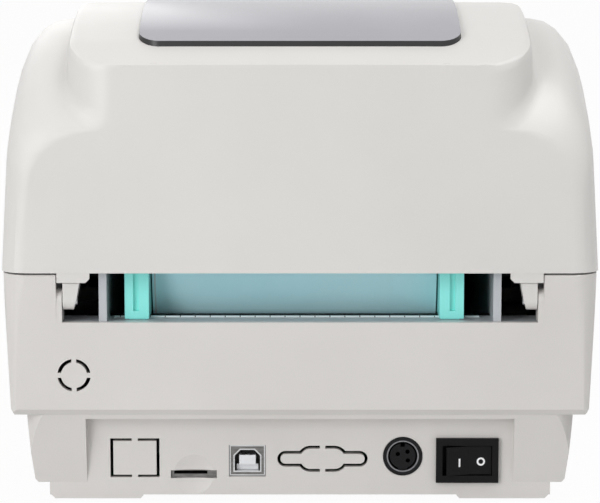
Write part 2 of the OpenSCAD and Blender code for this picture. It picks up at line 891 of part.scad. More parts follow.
module trough_profile() {
    intersection() {
        difference() {
            translate([roll_s, trough_z]) circle(r = trough_r + trough_t, $fn = 128);
            translate([roll_s, trough_z]) circle(r = trough_r, $fn = 128);
        }
        polygon([
            [0, 0], [0, shelf_z], [roll_s, shelf_z], [roll_s, plate_top_z - guide_plate_t],
            [body_d, plate_top_z - guide_plate_t], [body_d, 0]
        ]);
    }
}

module media_trough() {
    color(dark) across(-plate_in_x, plate_in_x) trough_profile();
}

module frame_screws() {
    color(steel) for (side = [-1, 1])
        for (s = boss_s) {
            peg(side * boss_x, s, trough_low_z - 3 * screw_r, trough_low_z + pad_h, screw_r);
            peg(side * boss_x, s, trough_low_z + pad_h, trough_low_z + pad_h + screw_head_h, screw_head_r);
        }
}

// Decks that close the space between the frame and the casing
module side_decks() {
    deck_top = seam_z - deck_drop;
    color(dark) both_sides() difference() {
        intersection() {
            block(plate_out_x, half_w, slot_end_l + wall, body_d - 3 * wall, deck_top - wall, deck_top);
            casing_form(wall, seam_z);
        }
        block(hook_in_x - 2 * clear, lever_in_x + lever_t + clear, catch_s - 2 * catch_r, body_d - 4 * wall,
            deck_top - 2 * wall, deck_top + cut);
        block(0, -layer_b_x + gear_w + 2 * clear, motor_s, platen_s + 2 * platen_d / 2, deck_top - 2 * wall,
            deck_top + cut);
        block(pocket_x - wall, half_w, pocket_s0 - wall, pocket_s1 + wall, deck_top - 2 * wall,
            deck_top + cut);
    }
}

// Board with its parts and the sockets behind the port panel
module main_board() {
    color([0.1, 0.35, 0.2]) difference() {
        block(-pcb_half_w, pcb_half_w, pcb_s0, pcb_s1, pcb_low_z, pcb_top_z);
        block(switch_x - switch_w / 2 - clear, switch_x + switch_w / 2 + clear, pcb_s0 - cut,
            panel_s + switch_body_l + 2 * clear, pcb_low_z - cut, pcb_top_z + cut);
    }
}

// Chips as width, depth, place across and place forward in shares of the board, and height in boards
chip_shares = [
    [0.22, 0.13, 0, 0.47, 0.9], [0.16, 0.09, 0.44, 0.45, 0.6], [0.28, 0.07, 0.4, 0.69, 0.6],
    [0.14, 0.06, -0.38, 0.41, 0.9], [0.14, 0.06, -0.38, 0.56, 0.9], [0.34, 0.07, -0.62, 0.85, 3.8],
    [0.47, 0.06, 0.16, 0.91, 3.1], [0.19, 0.05, 0.72, 0.91, 3.1]
];

module board_chips() {
    color(dark) for (c = chip_shares)
        translate([c[2] * pcb_half_w, y_of(pcb_s0 + c[3] * pcb_l), pcb_top_z + c[4] * pcb_t / 2])
            cube([c[0] * pcb_half_w, c[1] * pcb_l, c[4] * pcb_t], center = true);
}

// Capacitors as radius, place across and place forward in shares of the board, and height in boards
capacitor_shares = [
    [0.078, -0.78, 0.3, 7.5], [0.078, -0.78, 0.43, 7.5], [0.062, -0.6, 0.32, 6.2], [0.062, 0.75, 0.36, 6.2],
    [0.047, 0.75, 0.47, 4.4]
];

module board_capacitors() {
    color(steel) for (c = capacitor_shares)
        peg(c[1] * pcb_half_w, pcb_s0 + c[2] * pcb_l, pcb_top_z, pcb_top_z + c[3] * pcb_t,
            c[0] * pcb_half_w);
}

module usb_opening() {
    x = usb_in_w / 2;
    z = usb_in_h / 2;
    polygon(mirrored([[x, -z], [x, z - usb_bevel], [x - usb_bevel, z]]));
}

module usb_shell() {
    s0 = panel_s + usb_reveal;
    z = usb_z0 + usb_h / 2;
    color(steel) difference() {
        union() {
            block(usb_x - usb_w / 2, usb_x + usb_w / 2, s0, s0 + usb_l, usb_z0, usb_z0 + usb_h);
            block(usb_x - usb_w / 2, usb_x + usb_w / 2, panel_s + wall + seat, s0 + usb_l, pcb_top_z, z);
        }
        translate([usb_x, 0, z]) forward(s0 - cut, s0 + usb_l - usb_bevel) usb_opening();
    }
}

module usb_tongue() {
    s0 = panel_s + 2 * usb_reveal;
    z = usb_z0 + usb_h / 2;
    color("white") {
        block(usb_x - usb_tongue_w / 2, usb_x + usb_tongue_w / 2, s0,
            panel_s + usb_reveal + usb_l - usb_bevel, z - usb_tongue_h / 2, z + usb_tongue_h / 2);
    }
}

module card_socket() {
    s0 = panel_s + wall + seat;
    half = card_w / 2 + card_case_t;
    nose_half = card_w / 2 - seat;
    mouth_top = card_z0 + card_h - 2 * seat;
    color(steel) difference() {
        union() {
            block(card_x - half, card_x + half, s0, s0 + card_l, pcb_top_z,
                card_z0 + card_h + card_case_t);
            block(card_x - nose_half, card_x + nose_half, panel_s + card_dish_in, s0, card_z0 + seat,
                card_z0 + card_h - seat);
        }
        block(card_x - nose_half + card_mouth_side, card_x + nose_half - card_mouth_in, panel_s,
            s0 + card_l - card_end_t, mouth_top - card_mouth_h, mouth_top);
    }
}

module power_socket() {
    half = power_body_w / 2;
    s0 = panel_s - clear;
    color(dark) difference() {
        union() {
            block(power_x - half, power_x + half, panel_s + wall + seat, panel_s + wall + power_body_l,
                pcb_top_z, power_z + half);
            stub(power_x, power_z, s0, panel_s + wall + 2 * seat, power_r);
        }
        difference() {
            stub(power_x, power_z, s0 - cut, s0 + power_well, power_ring_r);
            stub(power_x, power_z, s0 + 2 * power_ring_t, s0 + power_well + cut, power_core_r);
            block(power_x - power_hole_r * 2, power_x + power_hole_r * 2, s0 + 2 * power_ring_t,
                s0 + power_well + cut, power_z - power_core_r - power_hole_r, power_z);
        }
        for (p = power_hole_shares * power_core_r)
            stub(power_x + p[0], power_z + p[1], s0, s0 + power_well, power_hole_r);
        block(power_x - power_hole_r, power_x + power_hole_r, s0, s0 + power_well,
            power_z + power_core_r - 1.6 * power_hole_r, power_z + power_core_r + cut / 2);
    }
}

module power_socket_ring() {
    s0 = panel_s;
    color(steel) difference() {
        stub(power_x, power_z, s0, panel_s - clear + power_well, power_ring_r);
        stub(power_x, power_z, s0 - cut, s0 + power_well + cut, power_ring_r - power_ring_t);
    }
}

module switch_frame() {
    s0 = panel_s - switch_bezel_t;
    color(dark) difference() {
        union() {
            block(switch_x - switch_w / 2, switch_x + switch_w / 2, s0, panel_s,
                switch_z - switch_h / 2, switch_z + switch_h / 2);
            block(switch_x - switch_body_w / 2, switch_x + switch_body_w / 2, panel_s,
                panel_s + switch_body_l, switch_z - switch_body_h / 2, switch_z + switch_body_h / 2);
        }
        block(switch_x - rocker_w / 2 - 2 * clear, switch_x + rocker_w / 2 + 2 * clear, s0 - cut,
            rocker_pivot_s + rocker_deep + 4 * clear + switch_well, switch_z - rocker_h / 2 - clear,
            switch_z + rocker_h / 2 + clear);
        peg(switch_x, rocker_pivot_s, switch_z - rocker_h / 2 - rocker_pivot_l - seat,
            switch_z + rocker_h / 2 + rocker_pivot_l + seat, rocker_pivot_r + running);
    }
}

// Rocker in its off place: the right end is pressed in and the left end stands out
module switch_rocker() {
    half = rocker_w / 2;
    color(dark) translate([switch_x, y_of(rocker_pivot_s), switch_z]) rotate([0, 0, rocker_throw / 2]) {
        translate([0, 0, -rocker_h / 2]) linear_extrude(rocker_h) polygon([
            [-half, rocker_high], [0, rocker_waist], [half, rocker_high],
            [half - rocker_edge, -rocker_deep / 2], [rocker_keel, -rocker_deep], [-rocker_keel, -rocker_deep], [rocker_edge - half, -rocker_deep / 2]
        ]);
        cylinder(h = rocker_h + 2 * rocker_pivot_l, r = rocker_pivot_r, center = true);
    }
}

// Guides: a grooved post beside the web, an arm along the roll's end and a toothed rack below the shelf
module guide_arm_outline() {
    z0 = shelf_z + clear;
    far = roll_s - guide_disc_r / 3;
    reach = sqrt(guide_disc_r * guide_disc_r - guide_disc_r * guide_disc_r / 9);
    difference() {
        union() {
            polygon([
                [guide_rear_s, z0], [guide_rear_s, guide_post_top_z],
                [guide_rear_s + guide_post_edge, guide_post_top_z + guide_post_edge],
                [far, roll_z + reach], [far, roll_z - reach], [trough_lip_s + 2 * trough_t, z0]
            ]);
            translate([roll_s, roll_z]) circle(r = guide_disc_r);
        }
        translate([roll_s, roll_z]) circle(r = guide_hole_r);
    }
}

// Straight rack teeth along X, pointing to larger insets, with a gap centred on x_gap
module rack_teeth(x0, x1, x_gap) {
    pitch = PI * rack_m;
    tip = pitch / 4 - rack_m * tooth_add * tan(tooth_angle) - tooth_play / 2;
    root = pitch / 4 + rack_m * tooth_ded * tan(tooth_angle) - tooth_play / 2;
    first = ceil((x0 - x_gap + pitch / 2) / pitch + 0.5);
    last = floor((x1 - x_gap + pitch / 2) / pitch - 0.5);
    for (i = [first:last]) {
        x = x_gap + (i - 0.5) * pitch;
        polygon([
            [x - root, -rack_m * tooth_ded - rack_back / 2], [x - root, -rack_m * tooth_ded],
            [x - tip, rack_m * tooth_add], [x + tip, rack_m * tooth_add], [x + root, -rack_m * tooth_ded],
            [x + root, -rack_m * tooth_ded - rack_back / 2]
        ]);
    }
}

// A rack with its pitch line on y = 0 and its teeth towards +y
module rack_plan(x0, x1, x_gap) {
    translate([x0, -rack_m * tooth_ded - rack_back]) square([x1 - x0, rack_back]);
    rack_teeth(x0, x1, x_gap);
}

module guide_post(side) {
    x_in = path_x * side + guide_in_half;
    z0 = shelf_z + clear;
    difference() {
        union() {
            block(x_in, x_in + guide_w, guide_rear_s, guide_rear_s + guide_post_l, z0, guide_post_top_z);
            across(x_in, x_in + guide_arm_t) guide_arm_outline();
            block(x_in + clear * 2, x_in + clear * 2 + guide_neck_w, guide_neck_s0, guide_neck_s1,
                rack_low_z, z0);
        }
        block(x_in + guide_groove_in, x_in + guide_groove_in + guide_groove_w, guide_rear_s - cut,
            guide_rear_s + guide_groove_d, guide_groove_z, guide_post_top_z + cut);
    }
}

module media_guide_left() {
    x_in = path_x + guide_in_half;
    s_pitch = rack_pinion_s - rack_pinion_r;
    back_s = s_pitch - rack_m * tooth_ded - rack_back;
    color(guide_green) {
        guide_post(1);
        raise(rack_low_z, rack_low_z + rack_h) translate([0, y_of(s_pitch)]) mirror([0, 1])
            rack_plan(path_x - rack_reach, x_in + guide_neck_w, path_x);
        block(x_in + 2 * clear, x_in + guide_neck_w, back_s, guide_neck_s1, rack_low_z,
            shelf_z - shelf_t - clear);
    }
}

module media_guide_right() {
    x_in = guide_in_half - path_x;
    s_pitch = rack_pinion_s + rack_pinion_r;
    back_s = s_pitch + rack_m * tooth_ded + rack_back;
    color(guide_green) {
        mirror([1, 0, 0]) guide_post(-1);
        raise(rack_low_z, rack_low_z + rack_h) translate([0, y_of(s_pitch)])
            rack_plan(-x_in - guide_neck_w, path_x + rack_reach, path_x);
        block(-x_in - guide_neck_w, -x_in - 2 * clear, guide_neck_s0, back_s - rack_back / 2, rack_low_z,
            shelf_z - shelf_t - clear);
    }
}

// Involute of a base circle, at the roll angle a in degrees
function involute(base_r, a) = [
    base_r * (cos(a) + a * PI / 180 * sin(a)), base_r * (sin(a) - a * PI / 180 * cos(a))
];
function polar(p) = [norm(p), atan2(p[1], p[0])];
function roll_angle(base_r, r) = r <= base_r ? 0 : sqrt(r * r / base_r / base_r - 1) * 180 / PI;

// One side of a tooth, as radius and angle from the middle of the tooth, from the root to the tip
function flank(m, teeth, steps) = let (
    pitch_r = m * teeth / 2,
    base_r = pitch_r * cos(tooth_angle),
    root_r = pitch_r - tooth_ded * m,
    tip_r = pitch_r + tooth_add * m,
    at_pitch = polar(involute(base_r, roll_angle(base_r, pitch_r)))[1],
    half_tooth = 90 / teeth - tooth_play / 2 / pitch_r * 180 / PI,
    start_r = max(base_r, root_r),
    curve = [for (i = [0:steps]) let (
        r = start_r + (tip_r - start_r) * i / steps,
        p = polar(involute(base_r, roll_angle(base_r, r)))
    ) [r, half_tooth + at_pitch - p[1]]]
) root_r < base_r ? concat([[root_r, half_tooth + at_pitch]], curve) : curve;

// Outline of a spur gear with a tooth centred on the first axis
module gear_plan(m, teeth, steps = 3) {
    side = flank(m, teeth, steps);
    n = len(side);
    polygon([for (k = [0:teeth - 1], i = [0:2 * n - 1]) let (
        p = i < n ? [side[i][0], -side[i][1]] : [side[2 * n - 1 - i][0], side[2 * n - 1 - i][1]],
        a = p[1] + k * 360 / teeth
    ) [p[0] * cos(a), p[0] * sin(a)]]);
}

module guide_pinion() {
    color("white") difference() {
        peg_gear();
        peg(path_x, rack_pinion_s, rack_low_z - cut, rack_low_z + rack_h + cut, rack_pin_r + running);
    }
}

module peg_gear() {
    raise(rack_low_z, rack_low_z + rack_h) translate([path_x, y_of(rack_pinion_s)]) rotate(90)
        gear_plan(rack_m, rack_pinion_teeth);
}

module guide_pinion_pin() {
    color(steel) {
        peg(path_x, rack_pinion_s, rack_low_z - clear - rack_floor_t, rack_low_z + rack_h + clear,
            rack_pin_r);
        peg(path_x, rack_pinion_s, rack_low_z + rack_h + clear, rack_low_z + rack_h + 3 * clear,
            2 * rack_pin_r);
    }
}

// Label roll and its core
core_r = core_bore_d / 2 + core_wall;

module label_roll() {
    color([0.55, 0.76, 0.8]) difference() {
        rod(path_x - label_w / 2, path_x + label_w / 2, roll_s, roll_z, roll_d / 2);
        rod(path_x - label_w, path_x + label_w, roll_s, roll_z, core_r);
    }
}

module roll_core() {
    color([0.72, 0.6, 0.45]) difference() {
        rod(path_x - label_w / 2, path_x + label_w / 2, roll_s, roll_z, core_r);
        rod(path_x - label_w, path_x + label_w, roll_s, roll_z, core_bore_d / 2);
    }
}

// Drive train: the platen gear meshes with the small idler wheel, and the large one with the motor pinion
function dist(m, a, b) = m * (a + b) / 2;
motor_idler = dist(drive_m, motor_teeth, idler_big_teeth);
idler_platen = dist(drive_m, idler_small_teeth, platen_teeth);
motor_platen = norm([platen_s - motor_s, platen_z - motor_z]);
train_angle = atan2(platen_z - motor_z, platen_s - motor_s);
idler_angle = train_angle - acos((motor_platen * motor_platen + motor_idler * motor_idler
    - idler_platen * idler_platen) / (2 * motor_platen * motor_idler));
idler_s = motor_s + motor_idler * cos(idler_angle);
idler_z = motor_z + motor_idler * sin(idler_angle);

// Turn of a gear that meshes with another one: the follower lies at the direction given
function mesh_turn(turn, teeth, follower_teeth, direction) =
    direction + 180 + (direction - turn) * teeth / follower_teeth + 180 / follower_teeth;

platen_turn = 0;
to_idler = atan2(idler_z - platen_z, idler_s - platen_s);
idler_small_turn = mesh_turn(platen_turn, platen_teeth, idler_small_teeth, to_idler);
idler_big_turn = 0;
motor_turn = mesh_turn(idler_big_turn, idler_big_teeth, motor_teeth, idler_angle + 180);

module gear_at(x0, x1, s, z, m, teeth, turn) {
    across(x0, x1) translate([s, z]) rotate(turn) gear_plan(m, teeth);
}

module platen_shaft() {
    color(steel) rod(layer_a_x - gear_w - clear, plate_out_x, platen_s, platen_z, platen_shaft_r);
}

module platen_rubber() {
    color(dark) difference() {
        rod(path_x - platen_l / 2, path_x + platen_l / 2, platen_s, platen_z, platen_d / 2);
        rod(path_x - platen_l, path_x + platen_l, platen_s, platen_z, platen_shaft_r);
    }
}

module platen_gear() {
    color("white") difference() {
        gear_at(layer_a_x - gear_w, layer_a_x, platen_s, platen_z, drive_m, platen_teeth, platen_turn);
        rod(-half_w, 0, platen_s, platen_z, platen_shaft_r);
    }
}

module platen_bearings() {
    color(dark) for (x = [plate_out_x - bearing_l, -plate_out_x])
        difference() {
            rod(x, x + bearing_l, platen_s, platen_z, bearing_r);
            rod(x - cut, x + bearing_l + cut, platen_s, platen_z, platen_shaft_r + running);
        }
}

module idler_gear() {
    color("white") difference() {
        union() {
            gear_at(layer_a_x - gear_w, layer_a_x, idler_s, idler_z, drive_m, idler_small_teeth,
                idler_small_turn);
            gear_at(layer_b_x - gear_w, layer_b_x, idler_s, idler_z, drive_m, idler_big_teeth,
                idler_big_turn);
            rod(layer_b_x, layer_a_x - gear_w, idler_s, idler_z, idler_hub_r);
        }
        rod(-half_w, 0, idler_s, idler_z, idler_axle_r + running);
    }
}

module idler_axle() {
    color(steel) {
        rod(layer_b_x - gear_w - clear, -plate_in_x, idler_s, idler_z, idler_axle_r);
        rod(layer_b_x - gear_w - 4 * clear, layer_b_x - gear_w - clear, idler_s, idler_z,
            1.6 * idler_axle_r);
    }
}

module stepper_motor() {
    color(steel) difference() {
        union() {
            rod(-plate_in_x, motor_l - plate_in_x, motor_s, motor_z, motor_r);
            rod(-plate_in_x - motor_boss_l, -plate_in_x, motor_s, motor_z, motor_boss_r);
            across(-plate_in_x, motor_ear_t - plate_in_x) {
                translate([motor_s - motor_ear_x, motor_z - motor_ear_r])
                    square([2 * motor_ear_x, 2 * motor_ear_r]);
                for (side = [-1, 1])
                    translate([motor_s + side * motor_ear_x, motor_z]) circle(r = motor_ear_r);
            }
        }
        rod(-half_w, motor_l / 2 - plate_in_x, motor_s, motor_z, motor_shaft_r + running);
        for (side = [-1, 1])
            rod(-half_w, 0, motor_s + side * motor_ear_x, motor_z, screw_r);
    }
}

module motor_pinion() {
    color([0.75, 0.6, 0.3]) {
        gear_at(layer_b_x - gear_w, layer_b_x, motor_s, motor_z, drive_m, motor_teeth, motor_turn);
        rod(layer_b_x - gear_w, motor_l / 2 - plate_in_x - clear, motor_s, motor_z, motor_shaft_r);
    }
}

module motor_screws() {
    color(steel) for (side = [-1, 1]) {
        rod(-plate_out_x, motor_ear_t - plate_in_x, motor_s + side * motor_ear_x, motor_z, screw_r);
        rod(motor_ear_t - plate_in_x, motor_ear_t - plate_in_x + screw_head_h, motor_s + side * motor_ear_x,
            motor_z, screw_head_r);
    }
}

// Plate that leads the web from the trough to the platen, in a gentle curve
guide_plate_low_z = plate_top_z - guide_plate_t / 2;
guide_plate_rise = platen_z + platen_d / 2 - guide_plate_dip - guide_plate_low_z;
function guide_plate_z(s) = guide_plate_low_z
    + guide_plate_rise * sin(90 * (s - guide_plate_s0) / (guide_plate_s1 - guide_plate_s0));
guide_plate_steps = 10;

module label_guide_plate() {
    top = [for (i = [0:guide_plate_steps]) let (
        s = guide_plate_s0 + (guide_plate_s1 - guide_plate_s0) * i / guide_plate_steps
    ) [s, guide_plate_z(s)]];
    low = [for (i = [guide_plate_steps:-1:0]) top[i] - [0, guide_plate_t]];
    color(dark) difference() {
        across(-plate_in_x, plate_in_x) polygon(concat(top, low));
        block(path_x - sensor_w / 2 - seat, path_x + sensor_w / 2 + seat, sensor_s - sensor_l / 2 - seat,
            sensor_s + sensor_l / 2 + seat, 0, body_h);
        rod(-half_w, half_w, roll_s, trough_z, trough_r + trough_t);
    }
}

module label_sensor() {
    z = guide_plate_z(sensor_s);
    color([0.05, 0.05, 0.06]) block(path_x - sensor_w / 2, path_x + sensor_w / 2, sensor_s - sensor_l / 2,
        sensor_s + sensor_l / 2, z - 2 * guide_plate_t, z - 2 * seat);
}

module tear_bar() {
    teeth = floor(2 * tear_half_l / tear_pitch);
    x0 = -teeth * tear_pitch / 2;
    color(steel) raise(tear_z, tear_z + tear_t) polygon(concat(
        [[-x0, y_of(tear_s0)], [x0, y_of(tear_s0)]],
        [for (i = [0:teeth - 1]) each [
            [x0 + i * tear_pitch, y_of(tear_s1)], [x0 + (i + 0.5) * tear_pitch, y_of(tear_s1 + tear_tooth)]
        ]],
        [[-x0, y_of(tear_s1)]]
    ));
}

// Front control
button_front_s = body_d - clear;
button_flange_s1 = body_d - 1.6 * wall;

module feed_button() {
    board_s = body_d - wall - board_gap - board_t;
    color(frame_grey) {
        stub(button_x, button_z, button_flange_s1 - button_flange_t, button_front_s, button_r);
        stub(button_x, button_z, button_flange_s1 - button_flange_t, button_flange_s1, button_flange_r);
        stub(button_x, button_z, board_s + board_t + button_travel + 2 * clear, button_flange_s1,
            button_stem_r);
    }
}

module status_lens() {
    color([0.9, 0.93, 0.9])
        stub(lens_x, button_z, body_d - wall - board_gap + 3 * clear, button_front_s, lens_r);
}

module button_board() {
    board_s = body_d - wall - board_gap - board_t;
    color([0.1, 0.35, 0.2]) difference() {
        block(button_board_x - button_board_w / 2, button_board_x + button_board_w / 2, board_s,
            board_s + board_t, button_z - button_board_h / 2, button_z + button_board_h / 2);
        for (side = [-1, 1])
            stub(button_board_x + side * button_boss_step, button_boss_z, board_s - cut,
                board_s + board_t + cut, button_boss_r);
    }
}

// Latch: hooks and release levers on one shaft
module latch_shaft() {
    color(steel) rod(-lever_in_x - lever_t, lever_in_x + lever_t, latch_s, latch_z, latch_shaft_r);
}

module hook_outline() {
    nose_s = catch_s + catch_r + 1.4 * clear;
    difference() {
        union() {
            translate([latch_s, latch_z]) circle(r = hook_hub_r);
            polygon([
                [latch_s - hook_arm, latch_z], [latch_s - hook_arm, catch_z - 2 * catch_r],
                [nose_s, catch_z - catch_r], [nose_s, catch_z + catch_r],
                [latch_s - hook_arm / 3, catch_z + 3 * catch_r], [latch_s + hook_arm, catch_z + 2 * catch_r],
                [latch_s + hook_arm, latch_z]
            ]);
        }
        translate([latch_s, latch_z]) circle(r = latch_shaft_r);
    }
}

module latch_hooks() {
    color(dark) {
        across(hook_in_x, hook_in_x + hook_t) hook_outline();
        across(-hook_in_x - hook_t, -hook_in_x) hook_outline();
    }
}

module lever_outline() {
    difference() {
        union() {
            translate([latch_s, latch_z]) circle(r = hook_hub_r);
            translate([latch_s - hook_arm, latch_z]) square([2 * hook_arm, lever_tab_z1 - latch_z]);
        }
        translate([latch_s, latch_z]) circle(r = latch_shaft_r);
    }
}

module release_levers() {
    tab_out = half_w - lever_tab_out;
    color(frame_grey) {
        across(lever_in_x, lever_in_x + lever_t) lever_outline();
        across(-lever_in_x - lever_t, -lever_in_x) lever_outline();
        both_sides() block(lever_in_x + lever_t, tab_out - lever_tab_out, latch_s - hook_arm,
            latch_s + hook_arm, lever_tab_z0, lever_tab_z1);
    }
}

module latch_spring() {
    color(steel) difference() {
        rod(plate_out_x + latch_spring_gap, hook_in_x - latch_spring_gap, latch_s, latch_z,
            latch_shaft_r + latch_spring_t);
        rod(plate_out_x, hook_in_x, latch_s, latch_z, latch_shaft_r);
    }
}

// Lid: a swept shell whose sections join the raised middle to the rounded shoulders
shoulder_crest_z = body_h - shoulder_drop;
nose_rise = 14;
nose_z = lid_low_z + nose_rise;
nose_step = 3;
hump_edge_r = 3;
hump_crown = 0.2;
fillet_share = 0.2;
fillet_h_share = 0.35;
round_share = 0.6;
edge_share = 0.4;
crown_share = 0.75;
side_draft = 0.055;
rear_draft = 0.028;
rear_fade_s = 60;
shoulder_round_h = 18;
nose_power = 2.4;
shoulder_power = 2.0;

function arc_r(run, drop) = (run * run + drop * drop) / (2 * drop);
function rear_arc(s, top, r) = top - r + sqrt(r * r - (crest_s - s) * (crest_s - s));
function nose_curve(s, top, low, power, t) =
    low + (top - low) * sqrt(max(0, 1 - pow(max(0, s - crest_s) / (body_d - t - crest_s), power)));
function top_z(s, t) = s < crest_s ? rear_arc(s, body_h - t, arc_r(crest_s, body_h - rim_z))
    : nose_curve(s, body_h - t, nose_z + nose_step, nose_power, t);
function shoulder_z(s, t) = s < crest_s
    ? rear_arc(s, shoulder_crest_z - t, arc_r(crest_s, shoulder_crest_z - ridge_z))
    : nose_curve(s, shoulder_crest_z - t, nose_z, shoulder_power, t);
function corner_in(s, r) = s >= r ? 0 : r - sqrt(max(0, r * r - (r - s) * (r - s)));
function plan_half(half, s, depth, rear_r, front_r) =
    half - corner_in(s, rear_r) - corner_in(depth - s, front_r);

// Stations of the sweep: close together where the corners and the nose turn
corner_turns = [0, 20, 38, 54, 68, 80, 90];
nose_turns = [12, 24, 36, 48, 58, 67, 75, 82, 87, 90];
function stations(t) = concat(
    [for (a = corner_turns) t + (hump_corner_r - t) * (1 - cos(a))],
    [for (u = [1:4]) hump_corner_r + (crest_s - hump_corner_r) * u / 4],
    [for (a = nose_turns) crest_s + (body_d - t - crest_s) * pow(sin(a), 2 / nose_power)]
);

function lid_section(s, t) = let (
    depth = body_d - 2 * t,
    u = s - t,
    w = plan_half(half_w - t, u, depth, rear_corner_r - t, front_corner_r - t),
    hump = plan_half(hump_half_w - t, u, depth, hump_corner_r - t, front_corner_r - t),
    zh = top_z(s, t),
    zs = min(shoulder_z(s, t), zh - nose_step / 2),
    step = zh - zs,
    round_h = min(shoulder_round_h, (zs - lid_low_z) * round_share),
    w_top = w - side_draft * (zs - round_h - lid_low_z),
    low = t > 0 ? lid_low_z - cut : lid_low_z,
    w_low = w + side_draft * (lid_low_z - low),
    span = w_top - hump,
    edge_h = min(hump_edge_r, step * edge_share),
    fillet_w = span * fillet_share,
    fillet_h = (step - edge_h) * fillet_h_share,
    round_w = span - fillet_w
) concat(
    [[0, zh + hump_crown], [hump / 2, zh + hump_crown * crown_share]],
    [for (a = [90, 45, 0]) [hump - hump_edge_r + hump_edge_r * cos(a), zh - edge_h + edge_h * sin(a)]],
    [for (a = [180, 210, 240, 270]) [hump + fillet_w * (1 + cos(a)), zs + fillet_h * (1 + sin(a))]],
    [for (a = [72, 54, 36, 18, 0]) [w_top - round_w + round_w * cos(a), zs - round_h + round_h * sin(a)]],
    [[w_low, low]]
);

function lean(s, z) = rear_draft * max(0, z - lid_low_z) * max(0, 1 - s / rear_fade_s);

module lid_form(t) {
    s_list = stations(t);
    right = [for (s = s_list) lid_section(s, t)];
    half_n = len(right[0]);
    ring_n = 2 * half_n - 1;
    rows = len(s_list);
    points = [for (j = [0:rows - 1], i = [0:ring_n - 1]) let (
        k = i < half_n ? i : ring_n - i,
        side = i < half_n ? 1 : -1,
        p = right[j][k]
    ) [side * p[0], y_of(s_list[j]) - lean(s_list[j], p[1]), p[1]]];
    function at(j, i) = j * ring_n + i % ring_n;
    skin = [for (j = [0:rows - 2], i = [0:ring_n - 1]) each [
        [at(j, i), at(j, i + 1), at(j + 1, i + 1)], [at(j, i), at(j + 1, i + 1), at(j + 1, i)]
    ]];
    function cap(j) = concat(
        [[at(j, 0), at(j, ring_n - 1), at(j, 1)]],
        [for (i = [1:half_n - 2]) each [
            [at(j, i), at(j, ring_n - i), at(j, ring_n - i - 1)],
            [at(j, i), at(j, ring_n - i - 1), at(j, i + 1)]
        ]]
    );
    rear_cap = cap(0);
    front_cap = [for (f = cap(rows - 1)) [f[0], f[2], f[1]]];
    polyhedron(points = points, faces = concat(skin, rear_cap, front_cap), convexity = 8);
}

// Profile between two depths below the top of the lid, over a stretch of insets
window_steps = 14;
window_ledge = 4;
function top_line(s0, s1, down) = [for (i = [0:window_steps]) let (s = s0 + (s1 - s0) * i / window_steps)
    [s, top_z(s, 0) - down]];
function reversed(list) = [for (i = [len(list) - 1:-1:0]) list[i]];

module window_plan(grow) {
    w = 2 * (window_half_w + grow);
    l = window_s1 - window_s0 + 2 * grow;
    r = window_r + grow;
    translate([0, y_of((window_s0 + window_s1) / 2)]) {
        square([w, l - 2 * r], center = true);
        square([w - 2 * r, l], center = true);
        for (sx = [-1, 1], sy = [-1, 1])
            translate([sx * (w / 2 - r), sy * (l / 2 - r)]) circle(r = r, $fn = 48);
    }
}

module window_band(up, down, grow) {
    s0 = window_s0 - grow - cut;
    s1 = window_s1 + grow + cut;
    intersection() {
        across(-half_w, half_w) polygon(concat(top_line(s0, s1, -up), reversed(top_line(s0, s1, down))));
        raise(0, 2 * body_h) window_plan(grow);
    }
}

module lid_window() {
    color([0.3, 0.3, 0.33]) window_band(window_proud, window_t - window_proud, 0);
}

// Gussets that stiffen the walls of the lid where they meet the roof, at shares of the half width
rear_gusset_shares = [0.31, 0.62];
front_gusset_shares = [0.85, 0.71];

module gusset(x, s0, s1, z0, z1) {
    hull() {
        block(x - wall / 2, x + wall / 2, s0, s0 + wall / 4, z0, z1);
        block(x - wall / 2, x + wall / 2, min(s0, s1), max(s0, s1) + wall / 4, z1 - wall, z1);
    }
}

module lid_tab() {
    hull() {
        block(tab_in_x, slot_half_w - clear, tab_set_back, 2 * lip_t, tab_z + lip_t, lid_low_z + lip_t);
        block(tab_in_x + lip_t, slot_half_w - clear, tab_set_back, 2 * lip_t, tab_z, lid_low_z);
    }
}

module lid_shell() {
    color(shell_white) union() {
        difference() {
            union() {
                lid_form(0);
                both_sides() lid_tab();
            }
            lid_form(wall);
            window_band(10 * wall, window_t - window_proud, seat);
            intersection() {
                across(-half_w, half_w) polygon(concat(top_line(window_s0, window_s1, -cut),
                    reversed(top_line(window_s0, window_s1, 4 * wall))));
                raise(0, 2 * body_h) window_plan(-window_ledge);
            }
            block(-exit_half_w, exit_half_w, body_d - 4 * wall, body_d + cut, seam_z - cut, exit_high_z);
            block(-half_w + 2 * wall, half_w - 2 * wall, lip_t, 2 * wall, tab_z - cut, lid_low_z + lip_h);
        }
        for (side = [-1, 1]) {
            for (x = rear_gusset_shares * hump_half_w)
                gusset(side * x, 1.1 * wall, 4 * wall, ridge_z - 4 * wall, rim_z + wall / 4);
            for (x = front_gusset_shares * half_w)
                gusset(side * x, body_d - 0.7 * wall - corner_in(half_w - wall - x, front_corner_r - wall),
                    body_d - 5 * wall, lid_low_z + 3 * wall, nose_z + wall);
        }
    }
}

